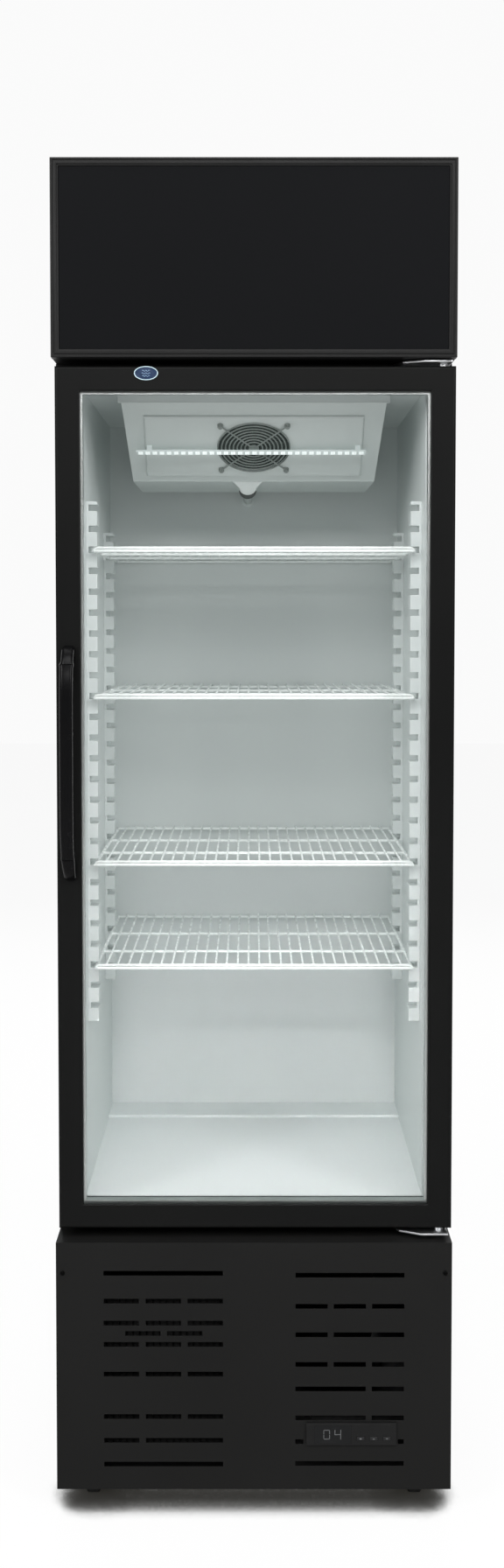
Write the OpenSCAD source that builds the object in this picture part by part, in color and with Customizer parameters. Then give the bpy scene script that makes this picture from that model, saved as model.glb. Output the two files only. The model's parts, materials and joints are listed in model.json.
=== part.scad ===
// Upright glass door merchandiser: a tall insulated cabinet with one hinged glass door,
// four wire shelves, a fan-blown evaporator at the top, a condensing unit in the base
// and a blank sign box on top.
// Millimetres. +Z is up, the door faces -Y, and z = 0 is the floor under the castors.
// The origin is the middle of the footprint.

/* [Cabinet] */
// Width over the side panels
cabinet_w = 600; // [580:5:640]
// Height from the floor to the top of the sign box
total_h = 2040; // [2030:5:2100]
// Depth of the insulated body behind the door
body_d = 484; // [474:2:504]
// Thickness of the foamed side walls
wall_t = 40; // [38:1:42]
// Gauge of the folded steel sheet
sheet_t = 1; // [0.8:0.1:1.2]
// Wall thickness of the white liner
liner_t = 2; // [1.5:0.5:2.5]

/* [Sign box] */
// Height of the sign box
sign_h = 291; // [270:1:300]
// Depth of the sign box
sign_d = 140; // [120:5:180]
// Width of the border around the sign panel
sign_border = 12; // [10:1:16]

/* [Base] */
// Gap under the front grille
base_clear = 38; // [34:1:42]
// Height of the front grille
base_h = 382; // [376:1:390]
// How far the grille and the sign box stand ahead of the body
nose_d = 58; // [56:1:62]
// Height of the castors with their plates
castor_h = 52; // [50:1:54]
// Radius of the castor wheels
wheel_r = 18; // [16:1:19]
// Height of a ventilation slot
slot_h = 7.4; // [6:0.2:9]

/* [Door] */
// How far the door face sits behind the grille and the sign box
door_setback = 10; // [8:1:12]
// Thickness of the door frame
door_t = 38; // [38:1:40]
// Width of the door frame members
stile_w = 37; // [36:1:40]
// Gap between the grille and the door
door_gap_low = 18; // [16:1:20]
// Gap between the door and the sign box
door_gap_high = 11; // [11:1:13]
// How much narrower than the cabinet the door is
door_play = 4; // [3:1:5]
// How far the handle stands out of the door
handle_proud = 38; // [34:1:42]
// Length of the handle
handle_l = 354; // [330:1:370]

/* [Shelves] */
// Depth of a wire shelf
shelf_d = 400; // [390:2:404]
// Distance between two notches of a shelf rail
notch_pitch = 32.4; // [32:0.1:33]
// Notch that holds each shelf, counted from the bottom of the rail
shelf_notches = [2, 7, 15, 22];
// Number of wires from front to back in a shelf
shelf_wires = 28; // [20:1:32]

/* [Cooling unit] */
// Slope of the evaporator cover, in degrees below the horizontal
cover_slope = 34.3; // [33:0.1:36]
// Size of the square evaporator fan
fan_size = 120; // [120:1:120]
// Radius of the condenser fan blades
condenser_fan_r = 98; // [90:1:100]

/* [Hidden] */
$fn = 48;

black_paint = [0.05, 0.05, 0.05];
black_plastic = [0.07, 0.07, 0.07];
white_plastic = [0.9, 0.92, 0.92];
bare_steel = [0.72, 0.73, 0.74];

// Places from front to back
half_w = cabinet_w / 2;
total_d = handle_proud - door_setback + nose_d + body_d;
nose_y = handle_proud - door_setback - total_d / 2;
door_y = nose_y + door_setback;
body_y = nose_y + nose_d;
back_y = body_y + body_d;
cover_y = back_y - 3;
liner_y = back_y - 53;
// Heights
base_top = base_clear + base_h;
sign_z = total_h - sign_h;
door_z0 = base_top + door_gap_low;
door_z1 = sign_z - door_gap_high;
liner_z0 = base_top + 50;
liner_z1 = sign_z - 39;
liner_x = half_w - wall_t;
liner_lip = 14;
front_flange = half_w - liner_x - liner_lip;
pan_t = 1.5;
// Door: its free edge is on the left, its hinge edge is flush with the cabinet
door_x0 = -half_w + door_play;
door_x1 = half_w;
door_mid = (door_x0 + door_x1) / 2;
door_w = door_x1 - door_x0;
door_h = door_z1 - door_z0;
pivot_x = door_x1 - 18;
pivot_y = door_y + 18;
pin_r = 3.95;
bush_bore_r = 4;
bracket_t = 3;
low_bracket_z = base_top + 7;
high_bracket_z = sign_z - 5;
// Castors
castor_x = half_w - 50;
castor_front_y = nose_y + 74;
castor_rear_y = back_y - 70;
castor_trail = 14;
axle_r = 3;
running_gap = 0.05;
// Shelves and their rails
rail_t = 17;
rail_w = 30;
rail_z0 = 733;
rail_notches = 25;
rail_front_y = body_y + 54;
rail_rear_y = body_y + 324;
first_notch = 24.6;
notch_h = 10;
notch_d = 13;
shelf_front_y = body_y + 25;
shelf_rod_r = 2.5;
shelf_rod_x = liner_x - 13.5;
// Evaporator cover: the sloped tray's frame has its origin at the middle of the fan
fan_y = body_y + 113;
fan_z = liner_z1 - 70;
tray_up = 97;
tray_down = 89;
cover_top_x = 202;
cover_low_x = 196;
cover_end_y = fan_y + tray_down * cos(cover_slope);
cover_end_z = fan_z - tray_down * sin(cover_slope);
cover_front_y = fan_y - tray_up * cos(cover_slope);
cover_front_z = fan_z + tray_up * sin(cover_slope);
cover_rear_y = liner_y - 42;
cover_t = 2;
pan_rise = 4;
guard_hole = 52.4;
fan_bore_r = 57;
fan_depth = 25;
drain_x = -10;
drain_y = liner_y - 27;
drain_z = cover_end_z - 12;
duct_y = liner_y + 27;
suction_x = 100;
suction_z = fan_z + 4;
// Condensing unit
condenser_x = -125;
condenser_z = 205;
condenser_y = nose_y + 24;
condenser_d = 52;
shroud_y = condenser_y + condenser_d;
compressor_x = 130;
compressor_y = back_y - 150;
foot_z = castor_h + pan_t + 14;
suction_stub = 185;
discharge_stub = 110;
discharge_reach = 92;
// Controller
control_x = 148;
control_z = base_clear + 87;
control_w = 138;
control_h = 34.5;
bezel_t = 4;
key_w = 12;
key_h = 6;
key_gap = 0.3;
key_x = [162, 182, 202];
window_x = 120;
window_w = 56;
window_h = 28;
// Cable gland on the rear cover
gland_x = -235;
gland_z = 95;
gland_r = 8;

// ---- Helpers ----

// A box given by its lowest and highest corners
module span(low, high) {
    translate(low) cube(high - low);
}

// The children and their mirror image across the cabinet's middle
module both_sides() {
    children();
    mirror([1, 0, 0]) children();
}

// A rectangular ring standing in the XZ plane: outer corners, width of its border, y range
module upright_ring(low, high, border, y0, y1) {
    difference() {
        span([low[0], y0, low[1]], [high[0], y1, high[1]]);
        span([low[0] + border, y0 - 1, low[1] + border], [high[0] - border, y1 + 1, high[1] - border]);
    }
}

// A cylinder along Y from y0 to y1
module rod_y(x, z, y0, y1, r) {
    translate([x, y0, z]) rotate([-90, 0, 0]) cylinder(r = r, h = y1 - y0);
}

// A cylinder along X from x0 to x1
module rod_x(y, z, x0, x1, r) {
    translate([x0, y, z]) rotate([0, 90, 0]) cylinder(r = r, h = x1 - x0);
}

// A cylinder between two points
module rod(a, b, r) {
    d = b - a;
    length = norm(d);
    translate(a) rotate([0, acos(d[2] / length), atan2(d[1], d[0])]) cylinder(r = r, h = length);
}

// A brazed tube through a list of points, with a ball at each bend
module tube_run(points, r) {
    for (i = [0 : len(points) - 2]) rod(points[i], points[i + 1], r);
    for (i = [1 : len(points) - 2]) translate(points[i]) sphere(r = r * 1.15);
}

// Pan-head screw sites: the place of the head's seat, and the turn from a head that faces -Y
grille_screws = [for (s = [-1, 1]) [[s * 290, nose_y, base_top - 46.5], [0, 0, 0]]];
cover_screws = [for (s = [-1, 1], z = [castor_h + 45, base_top - 30]) [[s * 288, cover_y, z], [0, 0, 180]]];
low_leg_screws = [for (x = [262, 286]) [[x, body_y - bracket_t, low_bracket_z - 24], [0, 0, 0]]];
high_leg_screws = [for (x = [232, 252]) [[x, body_y - 2, high_bracket_z - 11], [0, 0, 0]]];
sign_screws = [for (x = [-240, -80, 80, 240]) [[x, nose_y + 100, sign_z + sheet_t], [-90, 0, 0]]];
screw_sites = concat(grille_screws, cover_screws, low_leg_screws, high_leg_screws, sign_screws);

// One pan-head screw whose shank points along +Y, away from a head that faces -Y
module pan_screw() {
    rotate([-90, 0, 0]) cylinder(r = 1.9, h = 5);
    rotate([90, 0, 0]) cylinder(r = 3.4, h = 1.6);
    translate([0, -1.6, 0]) rotate([90, 0, 0]) cylinder(r1 = 3.4, r2 = 2.4, h = 0.6);
}

// The clearance holes of all screws
module screw_holes() {
    for (site = screw_sites) translate(site[0]) rotate(site[1]) rotate([90, 0, 0])
        cylinder(r = 2, h = 14, center = true);
}

// ---- Cabinet shell ----

// One side sheet with its front and rear flanges, on the right. Both flanges are wider beside
// the machine space, where the lower hinge and the rear cover are screwed to them.
module side_sheet() {
    wide = 50;
    flange_z = castor_h + 30;
    difference() {
        union() {
            span([half_w - sheet_t, body_y, castor_h], [half_w, back_y - sheet_t, sign_z]);
            span([half_w - front_flange, body_y, base_top], [half_w, body_y + sheet_t, sign_z]);
            span([half_w - 14, back_y - 2 * sheet_t, base_top], [half_w, back_y - sheet_t, sign_z]);
            span([half_w - wide, body_y, flange_z], [half_w, body_y + sheet_t, base_top]);
            span([half_w - 24, cover_y - 2 * sheet_t, flange_z], [half_w, cover_y - sheet_t, base_top]);
        }
        screw_holes();
    }
}

module side_panel_left() {
    color(black_paint) mirror([1, 0, 0]) side_sheet();
}

module side_panel_right() {
    color(black_paint) side_sheet();
}

module top_panel() {
    lip_x = half_w - front_flange;
    color(black_paint) difference() {
        union() {
            span([-half_w + sheet_t, body_y + sheet_t, sign_z - sheet_t],
                 [half_w - sheet_t, back_y - 2 * sheet_t, sign_z]);
            span([-lip_x, body_y, liner_z1 + liner_lip], [lip_x, body_y + sheet_t, sign_z]);
        }
        screw_holes();
    }
}

module rear_panel() {
    color(black_paint) span([-half_w, back_y - sheet_t, base_top], [half_w, back_y, sign_z]);
}

// Folded sheet under the foam, with a lip up the front face below the liner
module belly_plate() {
    lip_x = half_w - front_flange;
    color(black_paint) difference() {
        union() {
            span([-half_w + sheet_t, body_y + sheet_t, base_top],
                 [half_w - sheet_t, back_y - 2 * sheet_t, base_top + sheet_t]);
            span([-lip_x, body_y, base_top], [lip_x, body_y + sheet_t, liner_z0 - liner_lip]);
        }
        duct_holes(0.5);
    }
}

// The vertical holes through foam and belly plate for the drain hose and the suction line
module duct_holes(gap) {
    translate([drain_x, duct_y, base_top - 20]) cylinder(r = 8 + gap, h = drain_z - base_top + 20);
    translate([suction_x, duct_y, base_top - 20]) cylinder(r = 5 + gap, h = suction_z - base_top + 20);
}

// The holes of the same two lines through the back of the liner
module back_holes(gap) {
    rod_y(drain_x, drain_z, liner_y - 20, duct_y, 8 + gap);
    rod_y(suction_x, suction_z, liner_y - 20, duct_y, 5 + gap);
}

// White thermoformed liner: five walls, a front lip and a low step along the back of its floor
module inner_liner() {
    step_d = 70;
    step_h = 4;
    color(white_plastic) difference() {
        union() {
            span([-liner_x - liner_t, body_y, liner_z0 - liner_t],
                 [liner_x + liner_t, liner_y + liner_t, liner_z1 + liner_t]);
            span([-liner_x - liner_lip, body_y, liner_z0 - liner_lip],
                 [liner_x + liner_lip, body_y + liner_t, liner_z1 + liner_lip]);
        }
        span([-liner_x, body_y - 1, liner_z0], [liner_x, liner_y - step_d, liner_z1]);
        span([-liner_x, liner_y - step_d - 1, liner_z0 + step_h], [liner_x, liner_y, liner_z1]);
        back_holes(0.5);
    }
}

// Polyurethane foam between the sheet shell and the liner
module foam_insulation() {
    lip_x = liner_x + liner_lip;
    color([0.93, 0.86, 0.62]) difference() {
        union() {
            span([-half_w + sheet_t, body_y + sheet_t, base_top + sheet_t],
                 [half_w - sheet_t, back_y - 2 * sheet_t, sign_z - sheet_t]);
            span([-half_w + 14, body_y + sheet_t, base_top + sheet_t],
                 [half_w - 14, back_y - sheet_t, sign_z - sheet_t]);
        }
        span([-liner_x - liner_t, body_y - 1, liner_z0 - liner_t],
             [liner_x + liner_t, liner_y + liner_t, liner_z1 + liner_t]);
        span([-lip_x, body_y - 1, liner_z0 - liner_lip], [lip_x, body_y + liner_t, liner_z1 + liner_lip]);
        duct_holes(0.5);
        back_holes(0.5);
        translate([drain_x, duct_y, drain_z]) sphere(r = 11);
        translate([suction_x, duct_y, suction_z]) sphere(r = 8);
        screw_holes();
    }
}

// ---- Base ----

// Where the compressor's feet stand
function compressor_feet() = [
    for (sx = [-1, 1], sy = [-1, 1]) [compressor_x + sx * 80, compressor_y + sy * 45]
];

// Folded pan that carries the condensing unit: lips all round, two posts that the grille is
// screwed to, and welded studs for the compressor
module base_pan() {
    pan_x = half_w - sheet_t - 0.2;
    y0 = nose_y + sheet_t;
    y1 = cover_y - 2 * sheet_t - 0.2;
    lip = 20;
    color(bare_steel) difference() {
        union() {
            span([-pan_x, y0, castor_h], [pan_x, y1, castor_h + pan_t]);
            both_sides() {
                span([pan_x - pan_t, y0, castor_h], [pan_x, y1, castor_h + lip]);
                span([pan_x - 18, y0, castor_h], [pan_x, y0 + pan_t, base_top - 20]);
            }
            for (y = [y0, y1 - pan_t]) span([-pan_x, y, castor_h], [pan_x, y + pan_t, castor_h + lip]);
            for (p = compressor_feet()) translate([p[0], p[1], castor_h]) cylinder(r = 3.9, h = 26);
        }
        screw_holes();
    }
}

// Slot patterns, as runs within a field that is 0 to 1 wide
slot_full = [[0, 1]];
slot_thirds = [[0, 0.296], [0.352, 0.648], [0.704, 1]];
slot_first = [[0, 0.296], [0.352, 1]];
slot_last = [[0, 0.648], [0.704, 1]];
slot_stagger = [[0.18, 0.476], [0.532, 0.828]];
slot_ends = [[0, 0.075], [0.945, 1]];

// Rows of slots: height above the grille's lower edge, then the pattern
left_rows = [
    [335, slot_full], [292, slot_thirds], [258, slot_thirds], [242, slot_stagger], [225, slot_thirds],
    [179, slot_thirds], [113, slot_thirds], [76, slot_first], [39, slot_full]
];
right_rows = [
    [332, slot_full], [284, slot_thirds], [240, slot_first], [194, slot_thirds], [156, slot_last],
    [111, slot_last], [74, slot_ends], [40, slot_full]
];

module slot_field(x0, x1, rows) {
    for (row = rows) {
        for (run = row[1]) {
            translate([x0 + run[0] * (x1 - x0), nose_y - 1, base_clear + row[0] - slot_h / 2])
                cube([(run[1] - run[0]) * (x1 - x0), sheet_t + 2, slot_h]);
        }
    }
}

// Front grille: one folded sheet with side, top and bottom returns. The top return is notched
// for the leg of the lower hinge bracket.
module front_grille() {
    color(black_paint) difference() {
        union() {
            span([-half_w, nose_y, base_clear], [half_w, nose_y + sheet_t, base_top]);
            both_sides() span([half_w - sheet_t, nose_y, base_clear], [half_w, body_y, base_top]);
            span([-half_w, nose_y, base_top - sheet_t], [half_w, body_y, base_top]);
            span([-half_w, nose_y, base_clear], [half_w, nose_y + 12, base_clear + sheet_t]);
        }
        slot_field(-228, -47, left_rows);
        slot_field(63, 228, right_rows);
        span([248, body_y - 4, base_top - 3], [299, body_y + 1, base_top + 1]);
        span([control_x - 62, nose_y - 1, control_z - 13], [control_x + 62, nose_y + 2, control_z + 13]);
        screw_holes();
    }
}

// Rear cover of the machine space, with rows of slots and the hole of the cable gland
module rear_vent_cover() {
    edge = half_w - sheet_t;
    color(black_paint) difference() {
        span([-edge, cover_y - sheet_t, castor_h], [edge, cover_y, base_top]);
        for (i = [0 : 9], x = [-190, -15, 160]) {
            span([x - 60, cover_y - 2, 140 + i * 24], [x + 60, cover_y + 1, 148 + i * 24]);
        }
        rod_y(gland_x, gland_z, cover_y - 4, cover_y + 4, gland_r + 0.1);
        screw_holes();
    }
}

module panel_screws() {
    color(bare_steel) for (site = screw_sites) translate(site[0]) rotate(site[1]) pan_screw();
}

// ---- Castors ----

// Plate and kingpin of a swivel castor, around its own swivel axis
module kingpin_plate() {
    translate([-24, -24, castor_h - 2]) cube([48, 48, 2]);
    translate([0, 0, castor_h - 11]) cylinder(r = 4, h = 10);
    translate([0, 0, castor_h - 13]) cylinder(r = 6.5, h = 2.5);
    translate([0, 0, castor_h - 4]) cylinder(r = 12, h = 3);
}

// Fork with its riveted axle, around the swivel axis; the wheel trails towards -Y
module fork(top_z) {
    leg_x = 11.5;
    difference() {
        translate([0, 0, top_z - 3]) cylinder(r = 16, h = 3);
        translate([0, 0, top_z - 4]) cylinder(r = 4 + running_gap, h = 5);
    }
    both_sides() {
        translate([leg_x, 0, 0]) rotate([90, 0, 90]) linear_extrude(2) polygon([
            [-8, top_z - 1], [8, top_z - 1], [-castor_trail + 7, wheel_r - 3], [-castor_trail, wheel_r - 7],
            [-castor_trail - 7, wheel_r - 3], [-castor_trail - 5, wheel_r + 8]
        ]);
        rod_x(-castor_trail, wheel_r, leg_x + 1, leg_x + 4.5, 4.5);
    }
    rod_x(-castor_trail, wheel_r, -leg_x - 1, leg_x + 1, axle_r);
}

// Plates of the two swivel castors, and the two rigid rear castors with plate, fork and axle
module castor_mounts() {
    color(bare_steel) both_sides() {
        translate([castor_x, castor_front_y, 0]) kingpin_plate();
        translate([castor_x, castor_rear_y, 0]) {
            translate([-24, -24, castor_h - 2]) cube([48, 48, 2]);
            fork(castor_h - 1);
            translate([0, 0, castor_h - 4]) cylinder(r = 6, h = 3);
        }
    }
}

module castor_fork_left() {
    color(bare_steel) translate([-castor_x, castor_front_y, 0]) fork(castor_h - 5);
}

module castor_fork_right() {
    color(bare_steel) translate([castor_x, castor_front_y, 0]) fork(castor_h - 5);
}

// Wheel with a rounded tread, a recessed web and a bore that runs on the axle
module wheel(x, y) {
    w = 10;
    translate([x, y - castor_trail, wheel_r]) rotate([0, 90, 0]) rotate_extrude() polygon([
        [axle_r + running_gap, -w], [7, -w], [7, -w + 2], [wheel_r - 4, -w + 2], [wheel_r - 4, -w],
        [wheel_r - 2, -w], [wheel_r, -w + 2], [wheel_r, w - 2], [wheel_r - 2, w], [wheel_r - 4, w],
        [wheel_r - 4, w - 2], [7, w - 2], [7, w], [axle_r + running_gap, w]
    ]);
}

module wheel_front_left() {
    color(black_plastic) wheel(-castor_x, castor_front_y);
}

module wheel_front_right() {
    color(black_plastic) wheel(castor_x, castor_front_y);
}

module wheel_rear_left() {
    color(black_plastic) wheel(-castor_x, castor_rear_y);
}

module wheel_rear_right() {
    color(black_plastic) wheel(castor_x, castor_rear_y);
}

// ---- Condensing unit ----

// Finned block between two end plates, with return bends at one end
module condenser_coil() {
    w = 220;
    h = 250;
    y0 = condenser_y;
    z0 = condenser_z - h / 2;
    color([0.75, 0.6, 0.45]) {
        difference() {
            span([condenser_x - w / 2, y0 + 4, z0 + 4],
                 [condenser_x + w / 2, y0 + condenser_d - 6, z0 + h - 4]);
            for (i = [0 : 20]) {
                x = condenser_x - w / 2 + 7 + i * 10.3;
                span([x, y0 + 3, z0], [x + 3, y0 + 10, z0 + h]);
            }
        }
        for (x = [condenser_x - w / 2 - 1, condenser_x + w / 2 - 1]) {
            span([x, y0, z0], [x + 2, y0 + condenser_d, z0 + h]);
        }
        for (i = [0 : 4]) {
            translate([condenser_x - w / 2, y0 + condenser_d / 2, z0 + 35 + i * 45]) rotate([90, 0, 0])
                rotate([0, 0, 90]) rotate_extrude(angle = 180) translate([11, 0]) circle(r = 4);
        }
    }
}

// Fan shroud: a folded frame behind the coil with a ring around the blade
module condenser_shroud() {
    x0 = condenser_x - 115;
    x1 = condenser_x + 115;
    z0 = condenser_z - 127;
    y0 = shroud_y;
    foot = castor_h + pan_t;
    color(black_paint) difference() {
        union() {
            span([x0, y0, z0], [x1, y0 + 2, z0 + 254]);
            rod_y(condenser_x, condenser_z, y0, y0 + 34, condenser_fan_r + 8);
            span([x0, y0, foot], [x1, y0 + 20, foot + 2]);
            span([x0, y0, foot], [x1, y0 + 2, z0 + 4]);
        }
        rod_y(condenser_x, condenser_z, y0 - 1, y0 + 40, condenser_fan_r + 5);
    }
}

// Motor on three arms behind the blade
module condenser_motor() {
    y0 = shroud_y + 34;
    color([0.3, 0.31, 0.33]) {
        rod_y(condenser_x, condenser_z, y0 + 6, y0 + 66, 34);
        rod_y(condenser_x, condenser_z, y0 + 66, y0 + 74, 22);
        rod_y(condenser_x, condenser_z, y0 - 20, y0 + 10, 4);
        for (a = [90, 210, 330]) {
            translate([condenser_x, y0 + 6, condenser_z]) rotate([0, a, 0])
                span([20, 0, -6], [condenser_fan_r + 8, 3, 6]);
            translate([condenser_x, y0, condenser_z]) rotate([0, a, 0])
                span([condenser_fan_r + 5.5, 0, -6], [condenser_fan_r + 8, 8, 6]);
        }
    }
}

// Five pitched blades on a hub that runs with the motor shaft
module condenser_blade() {
    y0 = shroud_y + 8;
    color([0.8, 0.8, 0.8]) difference() {
        union() {
            rod_y(condenser_x, condenser_z, y0, y0 + 20, 24);
            for (a = [0 : 72 : 359]) {
                translate([condenser_x, y0 + 10, condenser_z]) rotate([0, a, 0]) rotate([28, 0, 0])
                    span([15, -1, -20], [condenser_fan_r - 4, 1, 20]);
            }
        }
        rod_y(condenser_x, condenser_z, y0 + 4, y0 + 30, 4 + running_gap);
    }
}

// Hermetic shell on a foot plate, with a terminal cover and stubs for the two lines
module compressor() {
    shell = [
        [0, 2], [62, 2], [78, 14], [83, 30], [83, 80], [88, 82], [88, 88], [83, 90],
        [83, 130], [76, 152], [55, 168], [25, 174], [0, 175]
    ];
    color([0.04, 0.04, 0.04]) translate([compressor_x, compressor_y, foot_z]) {
        rotate_extrude() polygon(shell);
        difference() {
            span([-95, -60, 0], [95, 60, 4]);
            for (sx = [-1, 1], sy = [-1, 1]) translate([sx * 80, sy * 45, -1]) cylinder(r = 8.2, h = 8);
        }
        span([-28, -108, 40], [28, -70, 110]);
        translate([0, 40, 165]) cylinder(r = 7, h = suction_stub - 165);
        rod_x(-30, discharge_stub, -discharge_reach, -60, 6);
    }
}

// Four rubber sleeves between the pan and the compressor's foot plate
module compressor_grommets() {
    sleeve = foot_z - castor_h - pan_t;
    color([0.12, 0.12, 0.12]) for (p = compressor_feet()) {
        translate([p[0], p[1], castor_h + pan_t]) difference() {
            union() {
                cylinder(r = 12, h = sleeve);
                cylinder(r = 8, h = sleeve + 6);
                translate([0, 0, sleeve + 4]) cylinder(r = 10, h = 3);
            }
            translate([0, 0, -1]) cylinder(r = 4, h = 30);
        }
    }
}

// Open pan under the drain hose, where the defrost water dries up
module evaporation_tray() {
    z0 = castor_h + pan_t;
    low = [-205, back_y - 190];
    high = [20, back_y - 14];
    color([0.2, 0.2, 0.2]) difference() {
        span([low[0], low[1], z0], [high[0], high[1], z0 + 42]);
        span([low[0] + 2, low[1] + 2, z0 + 2], [high[0] - 2, high[1] - 2, z0 + 43]);
    }
}

// Copper lines: suction down the back, discharge to the coil, and the liquid line with its
// drier, whose thin capillary runs back to the suction line
module refrigerant_lines() {
    coil_end = condenser_x + 111;
    coil_y = condenser_y + 20;
    drop_x = coil_end + 34;
    drier_x = coil_end + 19;
    discharge_y = compressor_y - 30;
    discharge_z = foot_z + discharge_stub;
    color([0.72, 0.42, 0.26]) {
        tube_run([
            [suction_x, liner_y - 49, suction_z], [suction_x, duct_y, suction_z],
            [suction_x, duct_y, 300], [compressor_x, duct_y, 300],
            [compressor_x, compressor_y + 40, 300], [compressor_x, compressor_y + 40, foot_z + suction_stub]
        ], 5);
        tube_run([
            [compressor_x - discharge_reach, discharge_y, discharge_z], [drop_x, discharge_y, discharge_z],
            [drop_x, discharge_y, 300], [drop_x, coil_y, 300], [coil_end, coil_y, 300]
        ], 4);
        tube_run([[coil_end, coil_y, 110], [drier_x, coil_y, 110], [drier_x, coil_y, 160]], 4);
        translate([drier_x, coil_y, 155]) cylinder(r = 10, h = 90);
        tube_run([
            [drier_x, coil_y, 240], [drier_x, coil_y, 345], [drier_x, duct_y, 345],
            [suction_x - 4, duct_y, 345]
        ], 1.5);
    }
}

// Gland for the supply cord, with a clear bore through it and a nut inside the cover
module cable_gland() {
    color(black_plastic) difference() {
        union() {
            rod_y(gland_x, gland_z, cover_y - 14, cover_y + 2, gland_r);
            rod_y(gland_x, gland_z, cover_y - 10, cover_y - sheet_t, 11);
        }
        rod_y(gland_x, gland_z, cover_y - 15, cover_y + 3, 4.2);
    }
}

// ---- Controller ----

module controller_body() {
    color(black_plastic) span([control_x - 61, nose_y, control_z - 12.5],
                              [control_x + 61, nose_y + 56, control_z + 12.5]);
}

// Face plate with a window opening and three key pockets
module controller_bezel() {
    y0 = nose_y - bezel_t;
    color([0.09, 0.09, 0.09]) difference() {
        union() {
            span([control_x - control_w / 2, y0 + 1, control_z - control_h / 2],
                 [control_x + control_w / 2, nose_y, control_z + control_h / 2]);
            span([control_x - control_w / 2 + 1, y0, control_z - control_h / 2 + 1],
                 [control_x + control_w / 2 - 1, nose_y, control_z + control_h / 2 - 1]);
        }
        span([window_x - window_w / 2, y0 - 1, control_z - window_h / 2],
             [window_x + window_w / 2, y0 + 1.6, control_z + window_h / 2]);
        for (x = key_x) {
            span([x - key_w / 2 - key_gap, y0 - 1, control_z - 6 - key_h / 2 - key_gap],
                 [x + key_w / 2 + key_gap, y0 + 3, control_z - 6 + key_h / 2 + key_gap]);
        }
    }
}

module display_window() {
    y0 = nose_y - bezel_t;
    color([0.15, 0.16, 0.17]) span([window_x - window_w / 2, y0 + 0.4, control_z - window_h / 2],
                                   [window_x + window_w / 2, y0 + 1.6, control_z + window_h / 2]);
}

// One rectangular key, proud of the bezel by less than a millimetre
module key(x) {
    y0 = nose_y - bezel_t;
    z0 = control_z - 6 - key_h / 2;
    z1 = z0 + key_h;
    color([0.2, 0.2, 0.2]) {
        span([x - key_w / 2, y0 - 0.4, z0], [x + key_w / 2, y0 + 2.2, z1]);
        span([x - key_w / 2 + 1, y0 - 0.8, z0 + 1], [x + key_w / 2 - 1, y0, z1 - 1]);
    }
}

module key_set() {
    key(key_x[0]);
}

module key_up() {
    key(key_x[1]);
}

module key_down() {
    key(key_x[2]);
}

// ---- Sign box ----

// Sheet box, open at the front, that stands on the cabinet and hangs over the door
module sign_housing() {
    y0 = nose_y + 18;
    y1 = nose_y + sign_d;
    color(black_paint) difference() {
        span([-half_w + 1, y0, sign_z], [half_w - 1, y1, total_h - 1]);
        span([-half_w + 1 + sheet_t, y0 - 1, sign_z + sheet_t],
             [half_w - 1 - sheet_t, y1 - sheet_t, total_h - 1 - sheet_t]);
        for (x = [-200 : 40 : 200]) span([x - 12, y1 - 3, total_h - 60], [x + 12, y1 + 1, total_h - 55]);
        screw_holes();
    }
}

// Stepped border extrusion around the sign panel
module sign_frame() {
    y0 = nose_y;
    low = [-half_w, sign_z];
    high = [half_w, total_h];
    steps = [[0, 3.5, 0], [3.5, 5, 1.2], [5, 9.5, 0], [9.5, sign_border, 1.6]];
    color([0.1, 0.1, 0.1]) {
        for (s = steps) {
            upright_ring([low[0] + s[0], low[1] + s[0]], [high[0] - s[0], high[1] - s[0]],
                         s[1] - s[0], y0 + s[2], y0 + 9);
        }
        upright_ring(low, high, 3, y0 + 8, y0 + 18);
    }
}

// Blank panel behind the border, with a step that fills the border's opening
module sign_panel() {
    m = sign_border - 2;
    color([0.03, 0.03, 0.03]) {
        span([-half_w + m, nose_y + 9, sign_z + m], [half_w - m, nose_y + 12, total_h - m]);
        span([-half_w + sign_border, nose_y + 3, sign_z + sign_border],
             [half_w - sign_border, nose_y + 9, total_h - sign_border]);
    }
}

// Two aluminium strips of light modules, under the roof and on the floor of the sign box
module sign_lights() {
    y0 = nose_y + 60;
    color([0.85, 0.85, 0.8]) {
        for (z = [sign_z + sheet_t, total_h - 1 - sheet_t - 8]) span([-270, y0, z], [270, y0 + 16, z + 8]);
        for (x = [-250 : 50 : 250]) {
            span([x - 8, y0 + 3, sign_z + sheet_t + 7], [x + 8, y0 + 13, sign_z + sheet_t + 11]);
            span([x - 8, y0 + 3, total_h - 13 - sheet_t], [x + 8, y0 + 13, total_h - 8.5 - sheet_t]);
        }
    }
}

// ---- Hinges ----

// One bracket: a plate with a cut corner, and a leg screwed to the body
module hinge_bracket(plate_z, leg_low, leg_high, leg_t) {
    difference() {
        union() {
            translate([0, 0, plate_z]) linear_extrude(bracket_t) polygon([
                [295, door_y], [254, door_y], [222, door_y + 13], [206, body_y], [295, body_y]
            ]);
            span([leg_low[0], body_y - leg_t, leg_low[1]], [leg_high[0], body_y, leg_high[1]]);
        }
        translate([pivot_x, pivot_y, plate_z - 1]) cylinder(r = pin_r, h = bracket_t + 2);
        screw_holes();
    }
}

module hinge_brackets() {
    color(bare_steel) {
        hinge_bracket(low_bracket_z, [250, base_top - 35], [297, low_bracket_z + 1], bracket_t);
        hinge_bracket(high_bracket_z, [222, high_bracket_z - 22], [297, high_bracket_z + 1], 2);
    }
}

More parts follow.
